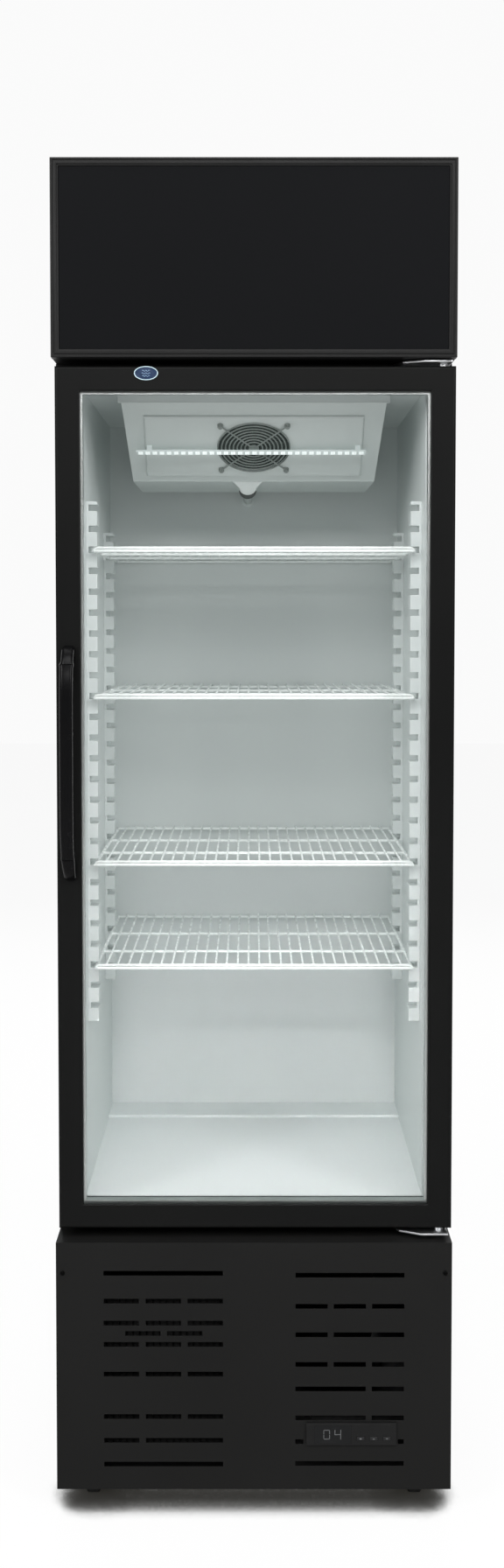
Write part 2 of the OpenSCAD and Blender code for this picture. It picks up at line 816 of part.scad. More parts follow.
// Two pins fixed in the brackets, each with a collar that the door turns on
module hinge_pins() {
    low_top = low_bracket_z + bracket_t;
    color([0.8, 0.8, 0.82]) translate([pivot_x, pivot_y, 0]) {
        translate([0, 0, low_bracket_z]) cylinder(r = pin_r, h = door_z0 + 9 - low_bracket_z);
        translate([0, 0, low_top]) cylinder(r = 7, h = door_z0 - 1.8 - low_top);
        translate([0, 0, door_z1 - 9]) cylinder(r = pin_r, h = high_bracket_z + bracket_t - door_z1 + 9);
        translate([0, 0, door_z1 + 1.8]) cylinder(r = 7, h = high_bracket_z - door_z1 - 1.8);
    }
}

// ---- Inside the cabinet ----

// One notched rail, whose back is against the right wall; notches open towards the middle
module shelf_rail(y, count) {
    z1 = rail_z0 + first_notch + (count - 1) * notch_pitch + 10;
    difference() {
        span([liner_x - rail_t, y - rail_w / 2, rail_z0], [liner_x, y + rail_w / 2, z1]);
        for (k = [0 : count - 1]) {
            z = rail_z0 + first_notch + k * notch_pitch;
            span([liner_x - rail_t - 1, y - rail_w / 2 - 1, z - notch_h / 2],
                 [liner_x - rail_t + notch_d, y + rail_w / 2 + 1, z + notch_h / 2]);
        }
    }
}

module shelf_rails() {
    color(white_plastic) both_sides() {
        shelf_rail(rail_front_y, rail_notches);
        shelf_rail(rail_rear_y, rail_notches - 1);
    }
}

// Height of the middle of a shelf's side rods in a given notch
function shelf_z(notch) = rail_z0 + first_notch + notch * notch_pitch - notch_h / 2 + shelf_rod_r + 0.1;

// Coated wire shelf: side rods in the notches, cross rods, and wires from front to back
module wire_shelf(notch) {
    z = shelf_z(notch);
    y0 = shelf_front_y;
    y1 = shelf_front_y + shelf_d;
    wire_r = 1.6;
    wire_z = z + shelf_rod_r + wire_r - 0.5;
    pitch = 2 * shelf_rod_x / (shelf_wires + 1);
    color([0.93, 0.95, 0.95]) {
        both_sides() rod_y(shelf_rod_x, z, y0, y1, shelf_rod_r);
        for (f = [0, 0.29, 0.63, 1]) {
            rod_x(y0 + f * shelf_d, z, -shelf_rod_x, shelf_rod_x, shelf_rod_r - 0.1);
        }
        rod_x(y0 - 0.6, z + 4.2, -shelf_rod_x, shelf_rod_x, shelf_rod_r - 0.4);
        for (i = [1 : shelf_wires]) rod_y(-shelf_rod_x + i * pitch, wire_z, y0 - 0.6, y1 + 1, wire_r);
    }
}

module shelf_1() {
    wire_shelf(shelf_notches[3]);
}

module shelf_2() {
    wire_shelf(shelf_notches[2]);
}

module shelf_3() {
    wire_shelf(shelf_notches[1]);
}

module shelf_4() {
    wire_shelf(shelf_notches[0]);
}

// Places its children in the frame of the sloped cover: origin at the fan's middle, +Y down
// the slope towards the back, +Z into the evaporator space
module on_cover() {
    translate([0, fan_y, fan_z]) rotate([-cover_slope, 0, 0]) children();
}

// One side wall of the cover, on the right
module cover_side() {
    run = cover_end_y - cover_front_y;
    turn = atan((cover_top_x - cover_low_x) / run);
    translate([cover_top_x, cover_front_y, 0]) rotate([0, 0, 90 + turn]) rotate([90, 0, 0])
        linear_extrude(cover_t) polygon([
            [0, cover_front_z], [0, liner_z1], [run / cos(turn), liner_z1], [run / cos(turn), cover_end_z]
        ]);
    span([cover_low_x, cover_end_y - 1, cover_end_z], [cover_low_x + cover_t, cover_rear_y, liner_z1]);
}

// Sloped tray with a raised pan and the fan opening, front fascia, sides and flat bottom
module evaporator_cover() {
    color(white_plastic) difference() {
        union() {
            on_cover() {
                linear_extrude(cover_t) polygon([
                    [-cover_top_x, -tray_up], [cover_top_x, -tray_up],
                    [cover_low_x, tray_down], [-cover_low_x, tray_down]
                ]);
                translate([0, 0, -pan_rise]) linear_extrude(pan_rise + 1) polygon([
                    [-172, -70], [172, -70], [175, 73], [-175, 73]
                ]);
            }
            both_sides() cover_side();
            span([-209, cover_front_y - 8, cover_front_z], [209, cover_front_y + 3, liner_z1]);
            span([-cover_low_x, cover_end_y - 1, cover_end_z],
                 [cover_low_x, cover_rear_y, cover_end_z + cover_t]);
        }
        on_cover() {
            translate([0, 0, cover_t - pan_rise]) linear_extrude(pan_rise + cover_t) polygon([
                [-170, -68], [170, -68], [173, 71], [-173, 71]
            ]);
            translate([0, 0, -10]) cylinder(r = fan_bore_r, h = 20);
            for (sx = [-1, 1], sy = [-1, 1]) {
                translate([sx * guard_hole, sy * guard_hole, -10]) cylinder(r = 2.1, h = 20);
            }
        }
    }
}

// Wire fan guard: rings on four diagonal arms, with its four screws
module fan_guard() {
    wire_r = 1.1;
    arm = guard_hole * sqrt(2);
    color([0.75, 0.77, 0.77]) on_cover() {
        for (i = [0 : 7]) translate([0, 0, -5.8])
            rotate_extrude() translate([14 + i * 6.2, 0]) circle(r = wire_r);
        translate([0, 0, -8.4]) cylinder(r = 8, h = 2.6);
        for (a = [45 : 90 : 359]) rotate([0, 0, a]) {
            rod_x(0, -6.9, 6, arm - 2, 1.2);
            translate([arm, 0, -8.3]) cylinder(r = 4.6, h = 8.3 - pan_rise);
            translate([arm, 0, -10.5]) cylinder(r = 3.4, h = 2.6);
            translate([arm, 0, -9]) cylinder(r = 2, h = 30);
        }
    }
}

// Square fan frame with the motor on four struts at its back
module fan_frame() {
    color(black_plastic) on_cover() translate([0, 0, cover_t - pan_rise]) {
        difference() {
            translate([-fan_size / 2, -fan_size / 2, 0]) cube([fan_size, fan_size, fan_depth]);
            translate([0, 0, -1]) cylinder(r = fan_bore_r, h = fan_depth + 2);
            for (sx = [-1, 1], sy = [-1, 1]) {
                translate([sx * guard_hole, sy * guard_hole, -1]) cylinder(r = 2.1, h = fan_depth + 2);
            }
        }
        translate([0, 0, fan_depth - 8]) cylinder(r = 20, h = 8);
        for (a = [45 : 90 : 359]) rotate([0, 0, a])
            span([15, -2.5, fan_depth - 4], [fan_bore_r + 2, 2.5, fan_depth]);
        translate([0, 0, 4]) cylinder(r = 2, h = fan_depth - 8);
    }
}

// Seven pitched blades on a hub that turns on the frame's shaft
module fan_blade() {
    color([0.1, 0.1, 0.1]) on_cover() translate([0, 0, cover_t - pan_rise]) difference() {
        union() {
            translate([0, 0, 2]) cylinder(r = 20, h = 14);
            for (a = [0 : 360 / 7 : 359]) {
                rotate([0, 0, a]) translate([0, 0, 9]) rotate([32, 0, 0])
                    span([16, -11, -0.8], [54.5, 11, 0.8]);
            }
        }
        translate([0, 0, 3.2]) cylinder(r = 2 + running_gap, h = 20);
    }
}

// Finned block of the evaporator with its end plates
module evaporator_coil() {
    y0 = cover_end_y + 16;
    y1 = cover_rear_y - 4;
    z0 = cover_end_z + 8;
    z1 = liner_z1 - 16;
    color([0.8, 0.82, 0.83]) {
        difference() {
            span([-168, y0 + 3, z0 + 3], [168, y1 - 3, z1 - 3]);
            for (i = [0 : 26]) span([-160 + i * 12, y0, z0], [-157 + i * 12, y0 + 9, z1]);
        }
        for (x = [-170, 168]) span([x, y0, z0], [x + 2, y1, z1]);
        for (x = [-150, 150]) span([x - 6, y1 - 30, z1 - 4], [x + 6, y1 - 10, liner_z1]);
    }
}

// Slim clear light bar across the cover, in front of the fan guard
module led_bar() {
    color([0.9, 0.95, 1]) on_cover() {
        span([-187, -5, -17], [178, 3, -13.5]);
        for (x = [-166, 165]) span([x - 4, -5, -14], [x + 4, 3, -pan_rise]);
    }
}

// Drain cup under the back of the cover, and the hose down inside the rear wall
module drain_hose() {
    cup_h = 20;
    color([0.75, 0.77, 0.77]) {
        translate([drain_x, drain_y, cover_end_z - cup_h]) difference() {
            cylinder(r = 20, h = cup_h);
            translate([0, 0, 16]) cylinder(r = 18, h = cup_h);
        }
        rod_y(drain_x, drain_z, drain_y, duct_y, 7);
        translate([drain_x, duct_y, drain_z]) sphere(r = 8.2);
        translate([drain_x, duct_y, castor_h + 60]) cylinder(r = 7, h = drain_z - castor_h - 60);
    }
}

// ---- Door ----

// One mitred frame bar along X. Its outer edge is at z = 0, its front face at y = 0.
// The profile has a chamfered nose, a rebate for the glass unit and a rear leg.
module frame_bar(length) {
    lip = 4;
    rebate = stile_w - 12;
    glass_room = 20.6;
    rear_leg = stile_w - 2;
    intersection() {
        rotate([90, 0, 90]) linear_extrude(length, center = true) polygon([
            [0, 2.5], [0, stile_w - 1], [1, stile_w], [lip, stile_w], [lip, rebate],
            [lip + glass_room, rebate], [lip + glass_room, rear_leg], [door_t, rear_leg],
            [door_t, 1.5], [door_t - 1.5, 0], [2.5, 0]
        ]);
        translate([0, door_t + 1, 0]) rotate([90, 0, 0]) linear_extrude(door_t + 2) polygon([
            [-length / 2, 0], [length / 2, 0],
            [length / 2 - stile_w, stile_w], [-length / 2 + stile_w, stile_w]
        ]);
    }
}

module door_stiles() {
    z = (door_z0 + door_z1) / 2;
    color(black_plastic) {
        translate([door_x0, door_y, z]) rotate([0, 90, 0]) frame_bar(door_h);
        translate([door_x1, door_y, z]) rotate([0, -90, 0]) frame_bar(door_h);
    }
}

// Top and bottom rails, drilled for the hinge bushes
module door_rails() {
    color(black_plastic) difference() {
        union() {
            translate([door_mid, door_y, door_z0]) frame_bar(door_w);
            translate([door_mid, door_y, door_z1]) mirror([0, 0, 1]) frame_bar(door_w);
        }
        translate([pivot_x, pivot_y, door_z0 - 1]) cylinder(r = 6, h = 12.8);
        translate([pivot_x, pivot_y, door_z1 - 11.8]) cylinder(r = 6, h = 12.8);
    }
}

// The low and high corners of the glass unit in X and Z
glass_low = [door_x0 + 26, door_z0 + 26];
glass_high = [door_x1 - 26, door_z1 - 26];
pane_t = 4;
pane_gap = 12;
glass_y = door_y + 4.3;

module glass_panes() {
    color([0.8, 0.9, 0.9, 0.3]) {
        for (y = [glass_y, glass_y + pane_t + pane_gap]) {
            span([glass_low[0], y, glass_low[1]], [glass_high[0], y + pane_t, glass_high[1]]);
        }
    }
}

module glass_spacer() {
    color(bare_steel) upright_ring(glass_low + [2, 2], glass_high - [2, 2], 12.5,
                                   glass_y + pane_t, glass_y + pane_t + pane_gap);
}

// Magnetic gasket between the door and the body
module door_gasket() {
    inset = 20;
    color([0.75, 0.77, 0.77]) {
        upright_ring([door_x0 + inset, door_z0 + inset], [door_x1 - inset, door_z1 - inset], 14,
                     door_y + door_t, body_y - 5);
        upright_ring([door_x0 + inset + 2, door_z0 + inset + 2],
                     [door_x1 - inset - 2, door_z1 - inset - 2], 11, body_y - 5.5, body_y - 0.3);
    }
}

// ---- Handle and badge ----

handle_x0 = door_x0 + 9;
handle_w = 19.5;
handle_z0 = door_z0 + 532;
cap_low = 35;
cap_high = 28;
grip_t = 14;

// The shape of the bow along its length, from 0 at a foot to 1 in the middle
function bow(f) = pow(max(0, 1 - pow(abs(2 * f - 1), 5)), 0.5);

// Outline of the bowed bar in depth and height, with a foot at each end
function bow_outline(steps, foot) = concat(
    [for (i = [0 : steps]) [-handle_proud * bow(i / steps), handle_l * i / steps]],
    [for (i = [0 : steps]) let (f = 1 - i / steps)
        [-(handle_proud - grip_t) * bow(f), handle_l * (foot + (1 - 2 * foot) * f)]]
);

module handle_bar() {
    translate([handle_x0, door_y, handle_z0]) rotate([90, 0, 90]) linear_extrude(handle_w)
        polygon(bow_outline(36, 0.07));
}

module handle_grip() {
    color(black_plastic) intersection() {
        handle_bar();
        span([handle_x0 - 1, door_y - handle_proud - 1, handle_z0 + cap_low],
             [handle_x0 + handle_w + 1, door_y + 1, handle_z0 + handle_l - cap_high]);
    }
}

module handle_caps() {
    color(black_plastic) difference() {
        handle_bar();
        span([handle_x0 - 1, door_y - handle_proud - 1, handle_z0 + cap_low],
             [handle_x0 + handle_w + 1, door_y + 1, handle_z0 + handle_l - cap_high]);
    }
}

// An ellipse from its two half-widths
module oval(a, b) {
    polygon([for (t = [0 : 7.5 : 359]) [a * cos(t), b * sin(t)]]);
}

// Plain oval badge with a rim
module door_badge() {
    color([0.12, 0.22, 0.4]) translate([-160, door_y, door_z1 - 11]) rotate([90, 0, 0]) difference() {
        linear_extrude(1.8) oval(18, 10.5);
        translate([0, 0, 1]) linear_extrude(1) oval(16, 8.5);
    }
}

// Flanged nylon bushes in the top and bottom rails
module hinge_bushes() {
    color([0.85, 0.85, 0.8]) translate([pivot_x, pivot_y, 0]) {
        difference() {
            union() {
                translate([0, 0, door_z0]) cylinder(r = 6, h = 11.8);
                translate([0, 0, door_z0 - 1.5]) cylinder(r = 8, h = 1.5);
                translate([0, 0, door_z1 - 11.8]) cylinder(r = 6, h = 11.8);
                translate([0, 0, door_z1]) cylinder(r = 8, h = 1.5);
            }
            translate([0, 0, door_z0 - 3]) cylinder(r = bush_bore_r, h = 13.5);
            translate([0, 0, door_z1 - 10.5]) cylinder(r = bush_bore_r, h = 13.5);
        }
    }
}

// ---- Nodes ----

side_panel_left();
side_panel_right();
top_panel();
rear_panel();
belly_plate();
inner_liner();
foam_insulation();
base_pan();
front_grille();
rear_vent_cover();
panel_screws();
castor_mounts();
castor_fork_left();
castor_fork_right();
wheel_front_left();
wheel_front_right();
wheel_rear_left();
wheel_rear_right();
condenser_coil();
condenser_shroud();
condenser_motor();
condenser_blade();
compressor();
compressor_grommets();
evaporation_tray();
refrigerant_lines();
cable_gland();
controller_body();
controller_bezel();
display_window();
key_set();
key_up();
key_down();
sign_housing();
sign_frame();
sign_panel();
sign_lights();
hinge_brackets();
hinge_pins();
shelf_rails();
shelf_1();
shelf_2();
shelf_3();
shelf_4();
evaporator_cover();
fan_guard();
fan_frame();
fan_blade();
evaporator_coil();
led_bar();
drain_hose();
door_stiles();
door_rails();
glass_panes();
glass_spacer();
door_gasket();
handle_grip();
handle_caps();
door_badge();
hinge_bushes();
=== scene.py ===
"""Looks of the glass door merchandiser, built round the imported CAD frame.

Metres, +Z up, the door faces -Y.
"""
import json
import math

import bmesh
import bpy
from mathutils import Matrix, Vector


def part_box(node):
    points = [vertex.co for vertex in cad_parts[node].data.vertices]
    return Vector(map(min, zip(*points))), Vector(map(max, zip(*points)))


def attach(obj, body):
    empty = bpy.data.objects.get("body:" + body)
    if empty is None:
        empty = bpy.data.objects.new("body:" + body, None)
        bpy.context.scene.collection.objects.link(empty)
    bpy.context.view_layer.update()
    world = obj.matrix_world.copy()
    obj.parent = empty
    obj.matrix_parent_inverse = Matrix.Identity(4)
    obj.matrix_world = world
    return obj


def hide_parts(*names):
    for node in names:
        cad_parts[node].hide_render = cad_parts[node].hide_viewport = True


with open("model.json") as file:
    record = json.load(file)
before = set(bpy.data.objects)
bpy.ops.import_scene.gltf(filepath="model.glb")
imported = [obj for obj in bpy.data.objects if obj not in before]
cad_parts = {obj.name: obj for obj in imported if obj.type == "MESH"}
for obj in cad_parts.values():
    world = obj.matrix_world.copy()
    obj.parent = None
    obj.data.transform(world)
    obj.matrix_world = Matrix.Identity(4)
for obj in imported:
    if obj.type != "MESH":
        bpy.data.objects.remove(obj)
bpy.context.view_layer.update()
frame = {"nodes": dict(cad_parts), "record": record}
NODES = frame["nodes"]
MM = 0.001
ROOM_LIGHT = 0.2
BACKDROP = 0.96
FLOOR_HALF = 14
# Smoothed corners that lean further than this from a face are shaded flat: the cosine for any
# face, and the cosine for a face wider than BROAD_FACE
FAR_LEAN = 0.8
SLIGHT_LEAN = 0.998
BROAD_FACE = 8 * MM


# ---- Materials ----

class Surface:
    """A procedural material: broad colour variation, uneven gloss and fine bump."""

    def __init__(self, name, color, rough, metal=0.0):
        self.mat = bpy.data.materials.new(name)
        self.mat.use_nodes = True
        self.tree = self.mat.node_tree
        self.bsdf = self.tree.nodes["Principled BSDF"]
        self.color = color
        self.rough = rough
        self.height = None
        self.put("Base Color", (*color, 1))
        self.put("Roughness", rough)
        self.put("Metallic", metal)
        self.coords = self.add("ShaderNodeTexCoord").outputs["Object"]

    def add(self, kind, **settings):
        node = self.tree.nodes.new(kind)
        for key, value in settings.items():
            setattr(node, key, value)
        return node

    def link(self, a, b):
        self.tree.links.new(a, b)

    def put(self, socket, value):
        self.bsdf.inputs[socket].default_value = value
        return self

    def noise(self, scale, stretch=(1, 1, 1), detail=3.0):
        """A noise value; stretch squeezes it along each axis."""
        mapping = self.add("ShaderNodeMapping")
        mapping.inputs["Scale"].default_value = stretch
        self.link(self.coords, mapping.inputs["Vector"])
        texture = self.add("ShaderNodeTexNoise")
        texture.inputs["Scale"].default_value = scale
        texture.inputs["Detail"].default_value = detail
        self.link(mapping.outputs["Vector"], texture.inputs["Vector"])
        return texture.outputs["Fac"]

    def ramp(self, value, stops):
        """Colours along a value."""
        node = self.add("ShaderNodeValToRGB")
        elements = node.color_ramp.elements
        while len(elements) < len(stops):
            elements.new(0.5)
        for element, (position, colour) in zip(elements, stops):
            element.position = position
            element.color = (*colour, 1)
        self.link(value, node.inputs["Fac"])
        return node.outputs["Color"]

    def mottle(self, scale, amount, stretch=(1, 1, 1), tint=(1, 1, 1)):
        """Lets the base colour drift lighter and darker."""
        low = [c * (1 - amount) for c in self.color]
        high = [min(1.0, c * (1 + amount) * t) for c, t in zip(self.color, tint)]
        drift = self.ramp(self.noise(scale, stretch), [(0.3, low), (0.7, high)])
        self.link(drift, self.bsdf.inputs["Base Color"])
        return self

    def uneven(self, scale, amount, stretch=(1, 1, 1)):
        """Lets the roughness vary."""
        node = self.add("ShaderNodeMapRange")
        node.inputs["To Min"].default_value = max(0.02, self.rough - amount)
        node.inputs["To Max"].default_value = min(1.0, self.rough + amount)
        self.link(self.noise(scale, stretch), node.inputs["Value"])
        self.link(node.outputs["Result"], self.bsdf.inputs["Roughness"])
        return self

    def bump(self, scale, depth, stretch=(1, 1, 1), detail=2.0):
        """Adds relief of a depth in metres."""
        node = self.add("ShaderNodeBump")
        node.inputs["Distance"].default_value = depth
        self.link(self.noise(scale, stretch, detail), node.inputs["Height"])
        if self.height is not None:
            self.link(self.height, node.inputs["Normal"])
        self.height = node.outputs["Normal"]
        self.link(self.height, self.bsdf.inputs["Normal"])
        return self

    def edge_wear_and_highlight(self, colour, start=0.56, end=0.64):
        """Lightens the colour towards another one along convex edges: rubbed wear, and a painted
        edge highlight.
        """
        geometry = self.add("ShaderNodeNewGeometry")
        edge = self.ramp(geometry.outputs["Pointiness"], [(start, (0, 0, 0)), (end, (1, 1, 1))])
        mix = self.add("ShaderNodeMix", data_type="RGBA")
        base = self.bsdf.inputs["Base Color"]
        if base.is_linked:
            self.link(base.links[0].from_socket, mix.inputs["A"])
        else:
            mix.inputs["A"].default_value = (*self.color, 1)
        mix.inputs["B"].default_value = (*colour, 1)
        self.link(edge, mix.inputs["Factor"])
        self.link(mix.outputs["Result"], base)
        return self

    def sheen(self, level):
        """Sets how strongly the surface reflects."""
        return self.put("Specular IOR Level", level)

    def glow(self, colour, strength):
        """Gives off light of a colour."""
        self.put("Emission Color", (*colour, 1))
        return self.put("Emission Strength", strength)


powder = Surface("black_powder_coat", (0.0068, 0.0068, 0.0066), 0.55)
powder.mottle(3.0, 0.12).uneven(14.0, 0.06).bump(1600.0, 0.00003).bump(9.0, 0.0001).sheen(0.08)
door_coat = Surface("door_black_anodised", (0.0028, 0.0029, 0.0028), 0.42)
door_coat.mottle(4.0, 0.1).uneven(30.0, 0.05, (1, 1, 0.2)).bump(1900.0, 0.000015).sheen(0.08)
sign_trim = Surface("sign_border_black", (0.009, 0.009, 0.009), 0.45)
sign_trim.mottle(5.0, 0.1).uneven(40.0, 0.06).bump(1900.0, 0.00002).sheen(0.09)
sign_face = Surface("sign_panel_acrylic", (0.0034, 0.0036, 0.0041), 0.6)
sign_face.mottle(1.5, 0.1).uneven(5.0, 0.05).bump(300.0, 0.00001).sheen(0.035)
moulded = Surface("moulded_black_plastic", (0.0085, 0.0085, 0.0085), 0.45)
moulded.mottle(20.0, 0.1).uneven(60.0, 0.07).bump(2600.0, 0.00004).sheen(0.08)
# Lighter than the grip: a painted highlight along the handle's rounded edges, on a raised moulding
# line.
seam_highlight_plastic = Surface("handle_seam_painted_highlight", (0.04, 0.04, 0.04), 0.4)
seam_highlight_plastic.mottle(60.0, 0.1).uneven(150.0, 0.08).bump(2400.0, 0.00002).sheen(0.2)
grip_plastic = Surface("handle_black_plastic", (0.0022, 0.0022, 0.0024), 0.26)
grip_plastic.mottle(25.0, 0.12).uneven(45.0, 0.06).bump(2400.0, 0.00002).sheen(0.07)
liner_white = Surface("white_liner_plastic", (0.62, 0.66, 0.655), 0.34)
liner_white.mottle(1.6, 0.02).uneven(9.0, 0.06).bump(5.0, 0.0004).bump(420.0, 0.000006)
# A darker copy of the liner's white: painted shade on the downward-facing cover and the spout
# beneath it.
shaded_cover_white = Surface("white_cover_painted_shade", (0.55, 0.59, 0.58), 0.38)
shaded_cover_white.mottle(5.0, 0.02).uneven(22.0, 0.06).bump(900.0, 0.000008)
wire_white = Surface("white_coated_wire", (0.80, 0.84, 0.83), 0.28)
wire_white.mottle(60.0, 0.03).uneven(160.0, 0.08).bump(500.0, 0.0001)
zinc = Surface("zinc_plated_steel", (0.55, 0.56, 0.57), 0.34, 1.0)
zinc.mottle(70.0, 0.14).uneven(220.0, 0.12).bump(900.0, 0.00003)
black_zinc = Surface("black_zinc_screws", (0.001, 0.001, 0.001), 0.45, 0.1)
black_zinc.mottle(200.0, 0.15).uneven(300.0, 0.1).bump(1800.0, 0.00002).sheen(0.03)
# Near black, far darker than galvanised steel: painted shade behind the grille's slots.
shade_darkened_pan = Surface("galvanised_painted_shade", (0.012, 0.012, 0.0122), 0.6, 0.6)
shade_darkened_pan.mottle(26.0, 0.3).uneven(60.0, 0.12).bump(500.0, 0.00005)
raw_alu = Surface("mill_aluminium", (0.5, 0.52, 0.51), 0.32, 1.0)
raw_alu.mottle(30.0, 0.08, (1, 1, 0.1)).uneven(300.0, 0.1, (1, 0.1, 0.1))
raw_alu.bump(1400.0, 0.00002, (1, 0.08, 0.08))
guard_wire = Surface("plated_guard_wire", (0.2, 0.22, 0.21), 0.42, 0.25)
guard_wire.mottle(200.0, 0.1).uneven(400.0, 0.08).bump(1500.0, 0.00002)
# Kept near black as painted shade: the coil's aluminium fins sit unlit behind the fan.
shade_darkened_fins = Surface("fin_stock_painted_shade", (0.05, 0.052, 0.052), 0.42, 1.0)
shade_darkened_fins.mottle(60.0, 0.12).uneven(200.0, 0.1).bump(800.0, 0.0005, (1, 0.02, 0.02))
coil_paint = Surface("painted_coil", (0.009, 0.009, 0.0088), 0.6)
coil_paint.mottle(40.0, 0.2).uneven(100.0, 0.1).bump(700.0, 0.0005, (1, 0.02, 0.02)).sheen(0.1)
copper = Surface("drawn_copper", (0.62, 0.27, 0.14), 0.34, 1.0)
copper.mottle(50.0, 0.25, tint=(1, 0.8, 0.7)).uneven(120.0, 0.14).bump(900.0, 0.00003)
shell_black = Surface("compressor_enamel", (0.006, 0.006, 0.006), 0.35)
shell_black.mottle(20.0, 0.2).uneven(60.0, 0.08).bump(240.0, 0.0001).sheen(0.15)
rubber = Surface("black_rubber", (0.014, 0.014, 0.014), 0.72)
rubber.mottle(60.0, 0.25).uneven(150.0, 0.1).bump(1400.0, 0.0001)
# The tread's convex edges are lightened: rubbed wear, and a painted edge highlight.
tread = Surface("castor_tread", (0.016, 0.016, 0.016), 0.6)
tread.mottle(90.0, 0.3).uneven(150.0, 0.12).bump(800.0, 0.00012).edge_wear_and_highlight((0.05, 0.048, 0.045))
seal = Surface("grey_door_gasket", (0.42, 0.44, 0.44), 0.6)
seal.mottle(20.0, 0.06).uneven(60.0, 0.08).bump(1200.0, 0.00005)
foam = Surface("cut_foam", (0.72, 0.6, 0.33), 0.85)
foam.mottle(30.0, 0.15).uneven(60.0, 0.08).bump(900.0, 0.0004)
iron = Surface("motor_casting", (0.16, 0.165, 0.17), 0.55, 0.6)
iron.mottle(30.0, 0.15).uneven(90.0, 0.1).bump(500.0, 0.0002)
fan_plastic = Surface("fan_black_plastic", (0.006, 0.0065, 0.006), 0.45)
fan_plastic.mottle(40.0, 0.15).uneven(90.0, 0.08).bump(1800.0, 0.00004).sheen(0.05)
hose = Surface("grey_hose", (0.42, 0.45, 0.44), 0.5)
hose.mottle(60.0, 0.08).uneven(90.0, 0.08).bump(900.0, 0.0001)
nylon = Surface("nylon_bush", (0.66, 0.66, 0.6), 0.4)
nylon.mottle(90.0, 0.06).uneven(200.0, 0.08).bump(1400.0, 0.00004)
display = Surface("smoked_display_window", (0.009, 0.0092, 0.0095), 0.2)
display.mottle(30.0, 0.1).uneven(60.0, 0.04).bump(500.0, 0.000008).sheen(0.06)
key_cap = Surface("rubber_key", (0.015, 0.015, 0.0153), 0.55)
key_cap.mottle(300.0, 0.15).uneven(500.0, 0.08).bump(2600.0, 0.00003).sheen(0.1)
print_grey = Surface("printed_grey", (0.075, 0.078, 0.08), 0.5)
print_grey.mottle(400.0, 0.15).uneven(300.0, 0.06).bump(2600.0, 0.00001)
badge_blue = Surface("badge_enamel", (0.007, 0.019, 0.05), 0.35)
badge_blue.mottle(150.0, 0.2).uneven(200.0, 0.06).bump(900.0, 0.00003).sheen(0.2)
badge_rim = Surface("badge_rim", (0.4, 0.52, 0.57), 0.35, 0.3)
badge_rim.mottle(300.0, 0.1).uneven(300.0, 0.06).bump(1500.0, 0.00001)
badge_mark = Surface("badge_print", (0.13, 0.2, 0.3), 0.4)
badge_mark.mottle(400.0, 0.2).uneven(300.0, 0.06).bump(2000.0, 0.00001)
lens = Surface("led_lens", (0.8, 0.86, 0.86), 0.3)
lens.mottle(80.0, 0.04).uneven(120.0, 0.06).bump(600.0, 0.00005)
lens.put("Alpha", 0.5)
lens.glow((0.9, 1.0, 0.98), 0.3)
led_spot = Surface("led_chip", (0.9, 0.95, 0.95), 0.4)
led_spot.mottle(900.0, 0.05).uneven(900.0, 0.1).glow((0.92, 1.0, 0.98), 0.36)

glass = Surface("clear_glass", (0.1, 0.13, 0.12), 0.03)
glass.uneven(3.0, 0.01).bump(1.2, 0.00015)
glass.put("Alpha", 0.035)
glass.put("IOR", 1.5)

CAD_LOOKS = {
    powder: "side_panel_left side_panel_right top_panel rear_panel belly_plate rear_vent_cover "
            "sign_housing condenser_shroud front_grille",
    sign_trim: "sign_frame",
    sign_face: "sign_panel",
    door_coat: "door_stiles door_rails",
    moulded: "controller_body controller_bezel cable_gland evaporation_tray",
    fan_plastic: "fan_frame fan_blade",
    liner_white: "inner_liner shelf_rails",
    shaded_cover_white: "evaporator_cover",
    wire_white: "shelf_1 shelf_2 shelf_3 shelf_4",
    black_zinc: "panel_screws",
    shade_darkened_pan: "base_pan",
    zinc: "castor_mounts castor_fork_left castor_fork_right hinge_brackets hinge_pins",
    guard_wire: "fan_guard",
    raw_alu: "glass_spacer sign_lights condenser_blade",
    shade_darkened_fins: "evaporator_coil",
    coil_paint: "condenser_coil",
    copper: "refrigerant_lines",
    shell_black: "compressor",
    rubber: "compressor_grommets",
    tread: "wheel_front_left wheel_front_right wheel_rear_left wheel_rear_right",
    seal: "door_gasket",
    foam: "foam_insulation",
    iron: "condenser_motor",
    hose: "drain_hose",
    nylon: "hinge_bushes",
    display: "display_window",
    key_cap: "key_set key_up key_down",
    badge_blue: "door_badge",
    lens: "led_bar",
    glass: "glass_panes",
    grip_plastic: "handle_grip handle_caps",
}
LOOK_OF = {node: look for look, names in CAD_LOOKS.items() for node in names.split()}
for node, look in LOOK_OF.items():
    for material_slot in NODES[node].material_slots:
        material_slot.material = look.mat

BODY_OF = {node: body
           for body, names in frame["record"]["behaviour"]["bodies"].items() for node in names}


# ---- Helpers ----

def add_piece(name, mesh, look, body, replaces=()):
    """Puts a mesh in the scene as a piece of the object."""
    piece = bpy.data.objects.new(name, mesh)
    bpy.context.scene.collection.objects.link(piece)
    if look is not None:
        mesh.materials.clear()
        mesh.materials.append(look.mat)
    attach(piece, body)
    if replaces:
        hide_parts(*replaces)
    return piece


def smooth_by_angle(mesh, degrees=35):
    """Shades smooth, with creases sharper than an angle kept."""
    mesh.polygons.foreach_set("use_smooth", [True] * len(mesh.polygons))
    mesh.set_sharp_from_angle(angle=math.radians(degrees))


